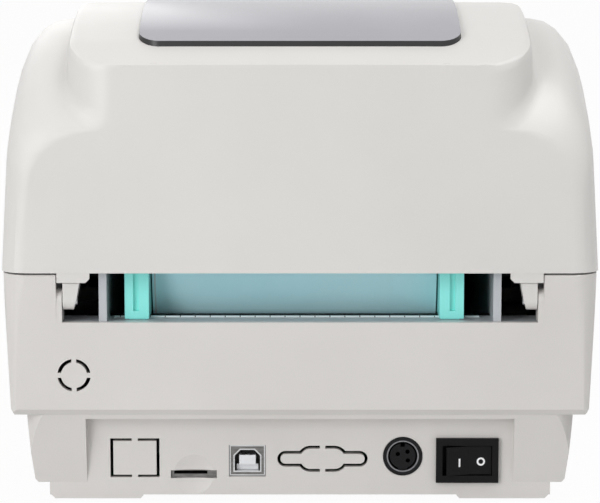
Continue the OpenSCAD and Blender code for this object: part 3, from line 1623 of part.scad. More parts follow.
module hinge_lugs() {
    rear_s = wall + rear_draft * (lug_top_z - lid_low_z) + clear / 2;
    color(shell_white) both_sides() difference() {
        intersection() {
            across(lug_top_in_x - cut, lug_out_x) union() {
                translate([hinge_s, hinge_z]) circle(r = knuckle_r);
                polygon([
                    [hinge_s - knuckle_r, hinge_z], [hinge_s - knuckle_r, tab_z - clear],
                    [lip_t + clear / 2, tab_z + clear], [lip_t + clear / 2, lid_low_z + lip_h - wall],
                    [rear_s, lid_low_z + lip_h - clear / 2], [rear_s, lug_top_z], [lug_front_s, lug_top_z],
                    [lug_front_s, seam_z + lip_h], [hinge_s + knuckle_r, hinge_z]
                ]);
            }
            forward(0, 2 * lug_front_s) polygon([
                [lug_out_x, hinge_z - knuckle_r], [lug_out_x, lug_top_z], [lug_top_in_x, lug_top_z],
                [lug_top_in_x, seam_z], [lug_low_in_x, hinge_z],
                [lug_low_in_x + lug_toe, hinge_z - knuckle_r]
            ]);
        }
        rod(0, half_w, hinge_s, hinge_z, hinge_pin_r + running);
    }
}

// Print head: a carrier across the lid, a sprung bracket, the heat sink and the head bar
module head_carrier() {
    reach = half_w - wall - side_draft * (bracket_top_z + carrier_h - lid_low_z) - carrier_gap;
    color(dark) {
        block(-reach, reach, head_bar_s0, head_bar_s1, bracket_top_z, bracket_top_z + carrier_h);
        both_sides() {
            for (x = [carrier_leg_in_x, lever_in_x])
                difference() {
                    block(x, x + carrier_leg_t, catch_s - 2 * catch_r, catch_s + 2 * catch_r,
                        catch_z - 2 * catch_r, bracket_top_z);
                    rod(x - cut, x + carrier_leg_t + cut, catch_s, catch_z, catch_r);
                }
        }
    }
}

module catch_pins() {
    color(steel) both_sides() rod(carrier_leg_in_x, lever_in_x + carrier_leg_t, catch_s, catch_z, catch_r);
}

module head_bracket() {
    sink_low_z = head_low_z + head_bar_t;
    ledge_z = sink_low_z + sink_h / 2;
    flange_x = sink_half_l + sink_ledge + clear;
    color(steel) translate([path_x, 0, 0]) {
        block(-flange_x - bracket_t, flange_x + bracket_t, head_bar_s0, head_bar_s1,
            bracket_top_z - bracket_t, bracket_top_z);
        both_sides() {
            block(flange_x, flange_x + bracket_t, head_bar_s0, head_bar_s1, ledge_z - clear - bracket_t,
                bracket_top_z);
            block(sink_half_l + 2 * clear, flange_x + bracket_t, head_bar_s0, head_bar_s1,
                ledge_z - clear - bracket_t, ledge_z - clear);
        }
    }
}

// Helical spring: one tube swept along its turns
function spring_point(a, r, z0, h, turns) = [r * cos(a), r * sin(a), z0 + h * a / 360 / turns];

module coil(r, wire_r, z0, h, turns) {
    rings = 8 * turns;
    sides = 6;
    points = [for (j = [0:rings], i = [0:sides - 1]) let (
        a = 45 * j,
        c = spring_point(a, r, z0, h, turns),
        b = 60 * i
    ) c + [wire_r * cos(b) * cos(a), wire_r * cos(b) * sin(a), wire_r * sin(b)]];
    faces = concat(
        [for (j = [0:rings - 1], i = [0:sides - 1]) let (n = (i + 1) % sides) each [
            [j * sides + i, j * sides + n, (j + 1) * sides + n],
            [j * sides + i, (j + 1) * sides + n, (j + 1) * sides + i]
        ]],
        [for (i = [1:sides - 2]) [0, i + 1, i]],
        [for (i = [1:sides - 2]) [rings * sides, rings * sides + i, rings * sides + i + 1]]
    );
    polyhedron(points = points, faces = faces, convexity = 10);
}

module head_springs() {
    z0 = head_low_z + head_bar_t + sink_h + spring_wire_r;
    color(steel) for (side = [-1, 1])
        translate([path_x + side * spring_x, y_of((head_bar_s0 + head_bar_s1) / 2), 0])
            coil(spring_r - spring_wire_r, spring_wire_r, z0 + clear / 6,
                spring_h - 2 * spring_wire_r - clear / 3, spring_turns);
}

module heat_sink() {
    z0 = head_low_z + head_bar_t;
    fin_n = 5;
    fin = (sink_s1 - sink_s0) / (2 * fin_n - 1);
    color([0.75, 0.76, 0.78]) translate([path_x, 0, 0]) difference() {
        union() {
            block(-sink_half_l, sink_half_l, sink_s0, sink_s1, z0, z0 + sink_h);
            block(-sink_half_l - sink_ledge, sink_half_l + sink_ledge, head_bar_s0, head_bar_s1,
                z0 + sink_h / 2,
                z0 + sink_h / 2 + sink_ledge_h);
        }
        for (k = [0:fin_n - 2])
            for (side = [-1, 1])
                block(sink_half_l * (side * sink_slot_at_share - sink_slot_share),
                    sink_half_l * (side * sink_slot_at_share + sink_slot_share),
                    sink_s0 + (2 * k + 1) * fin, sink_s0 + (2 * k + 2) * fin, z0 + sink_h / 2,
                    z0 + sink_h + cut);
    }
}

module print_head_bar() {
    color([0.85, 0.85, 0.8]) block(path_x - head_half_l, path_x + head_half_l, head_bar_s0, head_bar_s1,
        head_low_z, head_low_z + head_bar_t);
}

base_tray();
rubber_feet();
housing_screws();
mid_casing();
hinge_pins();
media_frame();
media_trough();
frame_screws();
side_decks();
main_board();
board_chips();
board_capacitors();
usb_shell();
usb_tongue();
card_socket();
power_socket();
power_socket_ring();
switch_frame();
switch_rocker();
media_guide_left();
media_guide_right();
guide_pinion();
guide_pinion_pin();
label_roll();
roll_core();
platen_shaft();
platen_rubber();
platen_gear();
platen_bearings();
idler_gear();
idler_axle();
stepper_motor();
motor_pinion();
motor_screws();
label_guide_plate();
label_sensor();
tear_bar();
feed_button();
status_lens();
button_board();
latch_shaft();
latch_hooks();
release_levers();
latch_spring();
lid_shell();
lid_window();
hinge_lugs();
head_carrier();
catch_pins();
head_bracket();
head_springs();
heat_sink();
print_head_bar();
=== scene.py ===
# %% [markdown]
# # Dressing a barcode label printer
# The printer comes in as a fixed frame of real-size solids: two pale housings, a lid with a smoked
# window, and the working parts inside. This lesson gives every piece its finish, adds the small
# details that are too fine for the solids, and sets up a plain studio round it.

# %% Load the frame
import json
from math import atan, pi, radians, tan

import bmesh
import bpy
from mathutils import Matrix, Vector

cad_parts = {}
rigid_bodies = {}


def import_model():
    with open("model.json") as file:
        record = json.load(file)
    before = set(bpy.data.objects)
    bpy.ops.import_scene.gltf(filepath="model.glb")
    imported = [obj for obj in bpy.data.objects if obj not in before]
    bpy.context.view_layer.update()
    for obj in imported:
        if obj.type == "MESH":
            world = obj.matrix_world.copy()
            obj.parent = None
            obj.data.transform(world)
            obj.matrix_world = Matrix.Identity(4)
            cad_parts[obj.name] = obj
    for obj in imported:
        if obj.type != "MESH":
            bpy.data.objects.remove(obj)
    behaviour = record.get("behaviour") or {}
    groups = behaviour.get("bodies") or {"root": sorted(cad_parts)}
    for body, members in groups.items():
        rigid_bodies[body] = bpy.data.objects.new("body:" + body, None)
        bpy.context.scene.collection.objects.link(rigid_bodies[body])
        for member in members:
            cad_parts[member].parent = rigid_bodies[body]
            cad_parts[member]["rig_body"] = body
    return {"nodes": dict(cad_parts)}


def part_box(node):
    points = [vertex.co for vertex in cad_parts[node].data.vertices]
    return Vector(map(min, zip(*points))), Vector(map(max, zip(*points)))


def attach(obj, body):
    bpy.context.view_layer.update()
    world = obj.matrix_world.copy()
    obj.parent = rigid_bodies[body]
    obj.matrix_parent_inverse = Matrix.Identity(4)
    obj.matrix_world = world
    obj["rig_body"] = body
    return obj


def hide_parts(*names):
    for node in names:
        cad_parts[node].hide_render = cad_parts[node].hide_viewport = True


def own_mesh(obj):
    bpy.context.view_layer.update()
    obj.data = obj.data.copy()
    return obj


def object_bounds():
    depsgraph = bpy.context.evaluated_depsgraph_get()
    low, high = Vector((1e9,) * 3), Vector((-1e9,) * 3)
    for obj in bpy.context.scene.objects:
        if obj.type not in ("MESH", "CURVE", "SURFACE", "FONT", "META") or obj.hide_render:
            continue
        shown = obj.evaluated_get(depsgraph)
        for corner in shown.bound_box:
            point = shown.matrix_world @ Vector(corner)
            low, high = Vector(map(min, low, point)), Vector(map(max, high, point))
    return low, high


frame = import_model()
cad_box = [list(corner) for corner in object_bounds()]
scene = bpy.context.scene
scene.view_settings.view_transform = "Standard"
MM = 0.001
REAR_Y = cad_box[1][1]
print("nodes", len(frame["nodes"]), "box", cad_box)

# %% [markdown]
# ## Camera
# The photograph looks at the port side from straight behind, a little from above, with a long lens.
# The picture is 600 pixels wide and the lens is given in millimetres on a 36 mm sensor, so the
# focal length in pixels turns into millimetres by 36/600. It stands 0.8 m behind the rear plane.

# %% Camera
FOCAL_PX, IMAGE_W_PX, SENSOR_MM = 2465.0, 600.0, 36.0
PITCH, CAMERA_BACK, CAMERA_UP = radians(8.0), 0.800, 0.198
camera_data = bpy.data.cameras.new("studio_camera")
camera_data.sensor_width = SENSOR_MM
camera_data.lens = FOCAL_PX * SENSOR_MM / IMAGE_W_PX
camera = bpy.data.objects.new("studio_camera", camera_data)
camera.location = (0.0, REAR_Y + CAMERA_BACK, CAMERA_UP)
camera.rotation_euler = (pi / 2 - PITCH, 0.0, pi)
camera_data.clip_end = 50.0
scene.collection.objects.link(camera)
scene.camera = camera
print("lens", round(camera_data.lens, 1), "mm")

# %% [markdown]
# ## Two helpers for materials
# Colours are written as sRGB hex codes, as a colour picker gives them, and shader sockets want
# linear light, so one function turns one into the other. Another adds a node to a material,
# sets its properties and inputs, and joins its inputs to the outputs of nodes made before it.

# %% Colour and node helpers
def linear(code):
    channels = [int(code[i:i + 2], 16) / 255 for i in (1, 3, 5)]
    return (*[c / 12.92 if c <= 0.04045 else ((c + 0.055) / 1.055) ** 2.4 for c in channels], 1.0)


def add(tree, kind, settings=None, links=None):
    node = tree.nodes.new(kind)
    for name, value in (settings or {}).items():
        if isinstance(name, int) or name in node.inputs:
            node.inputs[name].default_value = value
        else:
            setattr(node, name, value)
    for name, source in (links or {}).items():
        tree.links.new(source, node.inputs[name])
    return node


def start(name):
    """A new material with its surface shader and the Object coordinates that patterns read."""
    material = bpy.data.materials.new(name)
    material.use_nodes = True
    tree = material.node_tree
    shader = tree.nodes["Principled BSDF"]
    place = add(tree, "ShaderNodeTexCoord").outputs["Object"]
    return material, tree, shader, place


def shades(tree, fac, low, high, at=(0.3, 0.7)):
    """A colour that runs between two hex codes as fac goes from one value to another."""
    ramp = add(tree, "ShaderNodeValToRGB", links={"Fac": fac})
    ramp.color_ramp.elements[0].position, ramp.color_ramp.elements[1].position = at
    ramp.color_ramp.elements[0].color = linear(low)
    ramp.color_ramp.elements[1].color = linear(high)
    return ramp.outputs["Color"]


def dress(nodes, material):
    for name in nodes:
        mesh = frame["nodes"][name].data
        mesh.materials.clear()
        mesh.materials.append(material)
    print(material.name, "on", ", ".join(nodes))

# %% [markdown]
# ## Moulded plastic
# The housings are ABS, moulded in a spark-eroded tool. That leaves an even matt grain of about
# 0.3 mm, which breaks up the highlights, and the colour drifts a little where the melt flowed.
# At this picture size one pixel is a third of a millimetre, so the grain is drawn 0.7 mm wide.
# The colour drifts over about 55 mm, and handling leaves a slight haze in patches of about 9 mm.

# %% Moulded plastic
FLOW_MM, HAZE_MM = 55, 9


def moulded(name, low, high, rough, grain_mm, depth_mm, coat=0.0, shine=0.5):
    material, tree, shader, place = start(name)
    flow = add(tree, "ShaderNodeTexNoise", {"Scale": 1 / (FLOW_MM * MM), "Detail": 3.0}, {"Vector": place})
    tree.links.new(shades(tree, flow.outputs["Fac"], low, high), shader.inputs["Base Color"])
    grain = add(tree, "ShaderNodeTexNoise", {"Scale": 1 / (grain_mm * MM), "Detail": 2.0},
                {"Vector": place})
    bump = add(tree, "ShaderNodeBump", {"Strength": 0.6, "Distance": depth_mm * MM},
               {"Height": grain.outputs["Fac"]})
    tree.links.new(bump.outputs["Normal"], shader.inputs["Normal"])
    haze = add(tree, "ShaderNodeTexNoise", {"Scale": 1 / (HAZE_MM * MM), "Detail": 4.0}, {"Vector": place})
    spread = add(tree, "ShaderNodeMapRange", {"To Min": rough - 0.05, "To Max": rough + 0.05},
                 {"Value": haze.outputs["Fac"]})
    tree.links.new(spread.outputs["Result"], shader.inputs["Roughness"])
    shader.inputs["IOR"].default_value = 1.53
    shader.inputs["Coat Weight"].default_value = coat
    shader.inputs["Specular IOR Level"].default_value = shine
    return material


lid_abs = moulded("lid_abs_spark_textured", "#d0cecb", "#d4d2cf", 0.42, 0.7, 0.012)
casing_abs = moulded("casing_abs_spark_textured", "#cdcac7", "#d2cfcc", 0.48, 0.7, 0.014)
frame_abs = moulded("frame_abs_moulded", "#b4b8bc", "#bcc0c4", 0.40, 0.9, 0.008)
guide_abs = moulded("guide_abs_green_moulded", "#8cf2ea", "#98f6f0", 0.34, 0.9, 0.006)
black_abs = moulded("black_abs_moulded", "#0e0e10", "#151517", 0.50, 0.8, 0.010, shine=0.15)
switch_nylon = moulded("switch_nylon_moulded", "#0b0a0b", "#111011", 0.42, 0.8, 0.006, shine=0.12)
acetal = moulded("white_acetal_moulded", "#e4e3de", "#ecebe6", 0.35, 1.0, 0.004)
connector_white = moulded("connector_nylon_white", "#e0e1e4", "#e9eaec", 0.40, 1.0, 0.004)
rubber = moulded("foot_rubber_moulded", "#161616", "#1e1e1e", 0.75, 0.8, 0.020)
platen_rubber = moulded("platen_silicone_ground", "#26262a", "#2c2c30", 0.62, 0.5, 0.012)
dress(["base_tray", "mid_casing"], casing_abs)
dress(["lid_shell", "hinge_lugs"], lid_abs)
dress(["media_frame", "feed_button", "release_levers"], frame_abs)
dress(["media_guide_left", "media_guide_right"], guide_abs)
dress(["media_trough", "side_decks", "label_guide_plate", "latch_hooks", "head_carrier",
       "platen_bearings", "power_socket", "label_sensor"], black_abs)
dress(["switch_frame", "switch_rocker", "board_chips"], switch_nylon)
dress(["guide_pinion", "platen_gear", "idler_gear"], acetal)
dress(["usb_tongue"], connector_white)
dress(["rubber_feet"], rubber)
dress(["platen_rubber"], platen_rubber)

# %% [markdown]
# ## Metals
# Shafts and pins are ground steel with fine lines round them, sheet parts are tinned or
# zinc-plated with a soft rolled grain, and the heat sink is an extrusion that is scratched along
# its length. One pattern of stretched noise serves them all: the stretch is the only difference.

# %% Metals
def drawn_metal(name, colour, rough, stretch, line_mm, metallic=1.0):
    material, tree, shader, place = start(name)
    shader.inputs["Metallic"].default_value = metallic
    turned = add(tree, "ShaderNodeMapping", {"Scale": stretch}, {"Vector": place})
    lines = add(tree, "ShaderNodeTexNoise", {"Scale": 1 / (line_mm * MM), "Detail": 3.0},
                {"Vector": turned.outputs["Vector"]})
    tree.links.new(shades(tree, lines.outputs["Fac"], colour[0], colour[1]), shader.inputs["Base Color"])
    spread = add(tree, "ShaderNodeMapRange", {"To Min": rough - 0.08, "To Max": rough + 0.08},
                 {"Value": lines.outputs["Fac"]})
    tree.links.new(spread.outputs["Result"], shader.inputs["Roughness"])
    bump = add(tree, "ShaderNodeBump", {"Strength": 0.3, "Distance": 0.01 * MM},
               {"Height": lines.outputs["Fac"]})
    tree.links.new(bump.outputs["Normal"], shader.inputs["Normal"])
    return material


ground_steel = drawn_metal("shaft_steel_ground", ("#a9abae", "#c2c4c6"), 0.26, (1.0, 0.1, 0.1), 0.6)
plated_steel = drawn_metal("screw_steel_zinc_plated", ("#b0b2b4", "#c8c9ca"), 0.34, (1.0, 1.0, 1.0), 1.5)
sheet_steel = drawn_metal("sheet_steel_tinned", ("#b9babb", "#d2d3d4"), 0.30, (0.15, 1.0, 1.0), 0.8)
socket_steel = drawn_metal("socket_shell_nickel_stamped", ("#636261", "#7d7c7a"), 0.40, (0.3, 1.0, 1.0),
                           0.8)
ring_steel = drawn_metal("socket_ring_steel_plated", ("#7a7a7d", "#8e8e91"), 0.38, (1.0, 1.0, 1.0), 0.8)
spring_steel = drawn_metal("spring_wire_drawn", ("#8e9093", "#a8aaac"), 0.30, (1.0, 1.0, 1.0), 0.8)
aluminium = drawn_metal("aluminium_extruded", ("#b8babd", "#cdced0"), 0.38, (0.08, 1.0, 1.0), 0.7)
brass = drawn_metal("brass_hobbed", ("#b8964e", "#cdaa60"), 0.28, (0.3, 1.0, 1.0), 0.7)
motor_can = drawn_metal("motor_can_lacquered", ("#3a3b3e", "#45464a"), 0.45, (0.2, 1.0, 1.0), 1.0, 0.6)
dress(["platen_shaft", "latch_shaft", "hinge_pins", "catch_pins"], ground_steel)
dress(["housing_screws", "frame_screws", "motor_screws", "guide_pinion_pin", "idler_axle"], plated_steel)
dress(["head_bracket", "tear_bar"], sheet_steel)
dress(["usb_shell", "card_socket"], socket_steel)
dress(["power_socket_ring"], ring_steel)
dress(["latch_spring", "head_springs"], spring_steel)
dress(["heat_sink", "board_capacitors"], aluminium)
dress(["motor_pinion"], brass)
dress(["stepper_motor"], motor_can)

# %% [markdown]
# ## Boards, ceramic, lens and core
# The boards are glass laminate under a green solder mask that pools over the tracks. The print
# head's bar is a glazed ceramic strip. The light guide is clear acrylic, and the roll's core is
# wound from grey-brown board whose plies climb in a slow spiral.

# %% Boards, ceramic, lens and core
def tracked_board():
    material, tree, shader, place = start("solder_mask_on_laminate")
    grid = add(tree, "ShaderNodeTexBrick", {"Scale": 1 / (9 * MM), "Mortar Size": 0.03,
               "Color1": linear("#14522f"), "Color2": linear("#195c36"), "Mortar": linear("#2b7a4a")},
               {"Vector": place})
    tree.links.new(grid.outputs["Color"], shader.inputs["Base Color"])
    bump = add(tree, "ShaderNodeBump", {"Strength": 0.5, "Distance": 0.04 * MM},
               {"Height": grid.outputs["Fac"]})
    tree.links.new(bump.outputs["Normal"], shader.inputs["Normal"])
    shader.inputs["Roughness"].default_value = 0.28
    return material


def clear_acrylic():
    material, tree, shader, place = start("light_guide_acrylic_clear")
    cloud = add(tree, "ShaderNodeTexNoise", {"Scale": 1 / (3 * MM), "Detail": 2.0}, {"Vector": place})
    tree.links.new(shades(tree, cloud.outputs["Fac"], "#dfe6e0", "#eef3ee"), shader.inputs["Base Color"])
    shader.inputs["Roughness"].default_value = 0.22
    shader.inputs["IOR"].default_value = 1.49
    shader.inputs["Transmission Weight"].default_value = 0.4
    return material


glazed = moulded("head_ceramic_glazed", "#d6d2c4", "#dedacd", 0.18, 2.0, 0.002, 0.5)
core_board = moulded("core_board_spiral_wound", "#a58b68", "#b39976", 0.80, 1.6, 0.06)
dress(["main_board", "button_board"], tracked_board())
dress(["status_lens"], clear_acrylic())
dress(["print_head_bar"], glazed)
dress(["roll_core"], core_board)

# %% [markdown]
# ## The label roll
# A full roll of thermal labels is wound with its blue glassine liner outside, so its round face
# is smooth, slightly waxy paper with faint lines where the label edges press through. Its ends
# show the turns as rings. They are about 0.15 mm thick, too fine to show, so they are drawn
# 0.9 mm thick. The rings are a wave pattern whose coordinates are centred on the roll's axis.

# %% Label roll
low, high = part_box("label_roll")
ROLL_AXIS, RING_T = (low + high) / 2, 0.9 * MM
LABEL_EDGE_X, EDGE_HALF = high.x - 0.9 * MM, 0.3 * MM


def wound_liner():
    material, tree, shader, place = start("glassine_liner_wound")
    centred = add(tree, "ShaderNodeMapping", {"Location": (-ROLL_AXIS.x, -ROLL_AXIS.y, -ROLL_AXIS.z)},
                  {"Vector": place})
    rings = add(tree, "ShaderNodeTexWave", {"wave_type": "RINGS", "rings_direction": "X",
                "Scale": 2 * pi / 20 / RING_T, "Distortion": 0.6, "Detail": 1.0},
                {"Vector": centred.outputs["Vector"]})
    cloud = add(tree, "ShaderNodeTexNoise", {"Scale": 1 / (30 * MM), "Detail": 4.0}, {"Vector": place})
    paper = shades(tree, cloud.outputs["Fac"], "#c2f3fd", "#ccf8ff")
    where = add(tree, "ShaderNodeSeparateXYZ", links={"Vector": place})
    edge = add(tree, "ShaderNodeMath", {"operation": "COMPARE", 1: LABEL_EDGE_X, 2: EDGE_HALF},
               {0: where.outputs["X"]})
    lined = add(tree, "ShaderNodeMix", {"data_type": "RGBA", 7: linear("#c9d3d6")},
                {0: edge.outputs["Value"], 6: paper})
    face = lined.outputs[2]
    ends = shades(tree, rings.outputs["Fac"], "#86b2bc", "#c3d8dc")
    turned = add(tree, "ShaderNodeNewGeometry")
    split = add(tree, "ShaderNodeSeparateXYZ", links={"Vector": turned.outputs["True Normal"]})
    side = add(tree, "ShaderNodeMath", {"operation": "ABSOLUTE"}, {0: split.outputs["X"]})
    end = add(tree, "ShaderNodeMath", {"operation": "GREATER_THAN", 1: 0.5}, {0: side.outputs["Value"]})
    mix = add(tree, "ShaderNodeMix", {"data_type": "RGBA"}, {0: end.outputs["Value"], 6: face, 7: ends})
    tree.links.new(mix.outputs[2], shader.inputs["Base Color"])
    shader.inputs["Roughness"].default_value = 0.38
    shader.inputs["IOR"].default_value = 1.48
    return material


liner_paper = wound_liner()
dress(["label_roll"], liner_paper)

# %% [markdown]
# ## The smoked window
# The window is a grey translucent moulding, polished on both sides. Seen at a low angle it
# mirrors the pale room, and its cut edge looks almost black, because light crosses the whole sheet
# there. A merged copy of the solid gets smooth normals along the curve and a second material on
# the faces that stand upright. The lid, the roll and the casing get such copies too. Normals
# weighted by face area keep the broad faces even, so the small ones beside them can't streak them.

# %% Smooth copies
def merged_copy(node, name, crease_deg, soft_mm=0.0):
    """A copy of a CAD node whose triangles are joined, with its hard edges kept and softly rounded."""
    mesh = frame["nodes"][node].data.copy()
    mesh.name = name
    shape = bmesh.new()
    shape.from_mesh(mesh)
    bmesh.ops.remove_doubles(shape, verts=shape.verts, dist=0.002 * MM)
    bmesh.ops.dissolve_limit(shape, angle_limit=radians(0.2), verts=shape.verts, edges=shape.edges)
    crease = radians(crease_deg)
    hard = [e for e in shape.edges if len(e.link_faces) == 2 and e.calc_face_angle(0.0) > crease]
    if soft_mm > 0:
        bmesh.ops.bevel(shape, geom=hard, offset=soft_mm * MM, offset_type="OFFSET", segments=2,
                        profile=0.5, affect="EDGES", material=-1, clamp_overlap=True)
    for face in shape.faces:
        face.smooth = True
    for edge in shape.edges:
        edge.smooth = not (len(edge.link_faces) == 2 and edge.calc_face_angle(0.0) > crease)
    shape.to_mesh(mesh)
    shape.free()
    piece = bpy.data.objects.new(name, mesh)
    scene.collection.objects.link(piece)
    evened = piece.modifiers.new("even_normals", "WEIGHTED_NORMAL")
    evened.keep_sharp = True
    body = frame["nodes"][node]["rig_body"]
    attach(piece, body)
    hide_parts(node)
    print(name, len(mesh.polygons), "faces")
    return piece


def smoked(name, low, high, rough):
    material, tree, shader, place = start(name)
    cloud = add(tree, "ShaderNodeTexNoise", {"Scale": 1 / (40 * MM), "Detail": 2.0}, {"Vector": place})
    tree.links.new(shades(tree, cloud.outputs["Fac"], low, high), shader.inputs["Base Color"])
    shader.inputs["Roughness"].default_value = rough
    shader.inputs["IOR"].default_value = 1.5
    return material


window = merged_copy("lid_window", "smoked_window", 35)
window_face = smoked("window_acrylic_smoked", "#a3a2a8", "#aaa9af", 0.25)
window_face.node_tree.nodes["Principled BSDF"].inputs["Transmission Weight"].default_value = 0.12
window_edge = smoked("window_edge_sawn_dark", "#1b1b1d", "#232325", 0.35)
window.data.materials.clear()
window.data.materials.append(window_face)
window.data.materials.append(window_edge)
for face in window.data.polygons:
    face.material_index = 1 if abs(face.normal.z) < 0.5 else 0

lid = merged_copy("lid_shell", "lid_skin", 28)
roll = merged_copy("label_roll", "label_roll_wound", 40)
casing = merged_copy("mid_casing", "casing_skin", 30, 0.25)

# %% [markdown]
# Two springs press the print head down. Their upper ends stay with the lid, and their lower ends
# rise as the head gives way, so the coils close up by the head's travel. Here they only get a
# merged copy with a mesh of its own.

# %% Springs
low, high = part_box("head_springs")
springs = merged_copy("head_springs", "head_springs_wound", 60)
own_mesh(springs)
print("springs", round((high.z - low.z) / MM, 1), "mm high")

# %% [markdown]
# ## Small details
# Some things are too thin for the solids: the scale along the sill of the slot, the printed marks
# on the switch, and the contacts in the square socket. They are boxes and rings, placed in
# millimetres across, forward from the rear plane, and up, as the solids are.

# %% Small details
def box_between(shape, x, s, z):
    """Adds a box between two values each across, forward from the rear plane, and up."""
    size = Vector((x[1] - x[0], s[1] - s[0], z[1] - z[0])) * MM
    middle = Vector((sum(x) / 2 * MM, REAR_Y - sum(s) / 2 * MM, sum(z) / 2 * MM))
    bmesh.ops.create_cube(shape, size=1.0,
                          matrix=Matrix.Translation(middle) @ Matrix.Diagonal((*size, 1.0)))


def piece_from(shape, name, material, body):
    bmesh.ops.recalc_face_normals(shape, faces=shape.faces)
    mesh = bpy.data.meshes.new(name)
    shape.to_mesh(mesh)
    shape.free()
    mesh.materials.append(material)
    piece = bpy.data.objects.new(name, mesh)
    scene.collection.objects.link(piece)
    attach(piece, body)
    print(name, len(mesh.polygons), "faces on", body)
    return piece


SHELF_Z, PANEL_S = 61.6, 8.0
STRIP_X, STRIP_S, STRIP_T = (-60, 62), (12.7, 14.2), 0.40
TICK_STEP, TICK_HALF, LONG_TICK_S, SHORT_TICK_S, INK_T = 5, 0.15, 14.0, 13.4, 0.04
# The strip's faint blue tint is a painted reflection of the blue liner above it.
scale_paint_and_reflection = moulded("scale_strip_with_painted_reflection", "#e8f4f6", "#eef8fa", 0.45, 0.8, 0.003)
scale_ink = moulded("scale_marks_printed", "#4a4c50", "#55575b", 0.60, 0.8, 0.002)
mark_paint = moulded("switch_marks_printed", "#e9e9ea", "#f3f3f4", 0.50, 0.8, 0.002)
strip = bmesh.new()
box_between(strip, STRIP_X, STRIP_S, (SHELF_Z, SHELF_Z + STRIP_T))
piece_from(strip, "scale_strip", scale_paint_and_reflection, "base")
ticks = bmesh.new()
for x in range(*STRIP_X, TICK_STEP):
    reach = LONG_TICK_S if x % 10 == 0 else SHORT_TICK_S
    box_between(ticks, (x - TICK_HALF, x + TICK_HALF), (STRIP_S[0] - INK_T, reach),
                (SHELF_Z + INK_T, SHELF_Z + STRIP_T + INK_T))
piece_from(ticks, "scale_marks", scale_ink, "base")

USB_X, USB_Z = 17.65, 13.6
CONTACT_X, CONTACT_HALF, CONTACT_Z = 1.25, 0.6, (1.6, 2.9)
contacts = bmesh.new()
for x in (USB_X - CONTACT_X, USB_X + CONTACT_X):
    box_between(contacts, (x - CONTACT_HALF, x + CONTACT_HALF), (PANEL_S + 2.0, PANEL_S + 4.0),
                (USB_Z + CONTACT_Z[0], USB_Z + CONTACT_Z[1]))
piece_from(contacts, "usb_contacts", switch_nylon, "base")
INSULATOR_HALF, INSULATOR_Z = 3.6, (-3.5, -1.7)
insulator = bmesh.new()
box_between(insulator, (USB_X - INSULATOR_HALF, USB_X + INSULATOR_HALF), (PANEL_S + 3.2, PANEL_S + 4.0),
            (USB_Z + INSULATOR_Z[0], USB_Z + INSULATOR_Z[1]))
piece_from(insulator, "usb_insulator", connector_white, "base")

# %% [markdown]
# The square socket's shell is a folded sheet. Its outer edge and the inner fold round its mouth,
# with two cut corners, are rings of brighter steel than the shell: edge and fold are real, their
# brightness is painted highlight. Each is an outline whose face is inset, emptied and pushed forward, so
# it becomes a closed ring.

# %% Painted highlights on the edges of the square socket
def ring_along(outline, s, width):
    """A ring between two values of s that follows an outline of x and z values, inwards by its width."""
    shape = bmesh.new()
    corners = [shape.verts.new(((USB_X + x) * MM, REAR_Y - s[0] * MM, (USB_Z + z) * MM))
               for x, z in outline]
    middle = shape.faces.new(corners)
    middle.normal_update()
    bmesh.ops.inset_region(shape, faces=[middle], thickness=width * MM, use_boundary=True,
                           use_even_offset=True)
    bmesh.ops.delete(shape, geom=[middle], context="FACES")
    pushed = bmesh.ops.extrude_face_region(shape, geom=shape.faces[:])["geom"]
    bmesh.ops.translate(shape, verts=[v for v in pushed if isinstance(v, bmesh.types.BMVert)],
                        vec=(0, (s[0] - s[1]) * MM, 0))
    return shape


SHELL_S, EDGE_X, EDGE_Z = PANEL_S + 1.0, 5.95, 5.2
MOUTH_X, MOUTH_Z, MOUTH_CUT = 4.7, 4.0, 2.2
edge_line = [(-EDGE_X, -EDGE_Z), (EDGE_X, -EDGE_Z), (EDGE_X, EDGE_Z), (-EDGE_X, EDGE_Z)]
mouth_line = [(-MOUTH_X, -MOUTH_Z), (MOUTH_X, -MOUTH_Z), (MOUTH_X, MOUTH_Z - MOUTH_CUT),
              (MOUTH_X - MOUTH_CUT, MOUTH_Z), (MOUTH_CUT - MOUTH_X, MOUTH_Z),
              (-MOUTH_X, MOUTH_Z - MOUTH_CUT)]
# Both rings take the bright tinned steel, lighter than the shell: painted highlights.
rim = ring_along(edge_line, (SHELL_S - 0.08, SHELL_S + 0.10), 0.40)
piece_from(rim, "usb_rim_painted_highlight", sheet_steel, "base")
lining = ring_along(mouth_line, (SHELL_S - 0.05, SHELL_S + 3.0), 0.45)
piece_from(lining, "usb_lining_painted_highlight", sheet_steel, "base")

# %% [markdown]
# The marks lie on the two faces of the rocker, which meet in a shallow valley. The rocker stands
# turned in its off place, so a mark is drawn flat, lifted on to its face, and turned with it.

# %% Switch marks
SWITCH_X, SWITCH_Z, PIVOT_S, ROCKER_TURN = -55.95, 13.95, 9.0, radians(10)
WAIST, FACE_SLOPE = 1.9, atan(1.1 / 7.7)


def on_rocker(x, z):
    """Place and turn of a mark drawn flat round the origin, facing up its own Z."""
    side = 1 if x > 0 else -1
    lift = WAIST + abs(x) * tan(FACE_SLOPE) + 0.01
    pivot = Matrix.Translation((SWITCH_X * MM, REAR_Y - PIVOT_S * MM, SWITCH_Z * MM))
    turn = Matrix.Rotation(ROCKER_TURN, 4, "Z")
    spot = Matrix.Translation((x * MM, lift * MM, z * MM)) @ Matrix.Rotation(side * FACE_SLOPE, 4, "Z")
    return pivot @ turn @ spot @ Matrix.Rotation(-pi / 2, 4, "X")


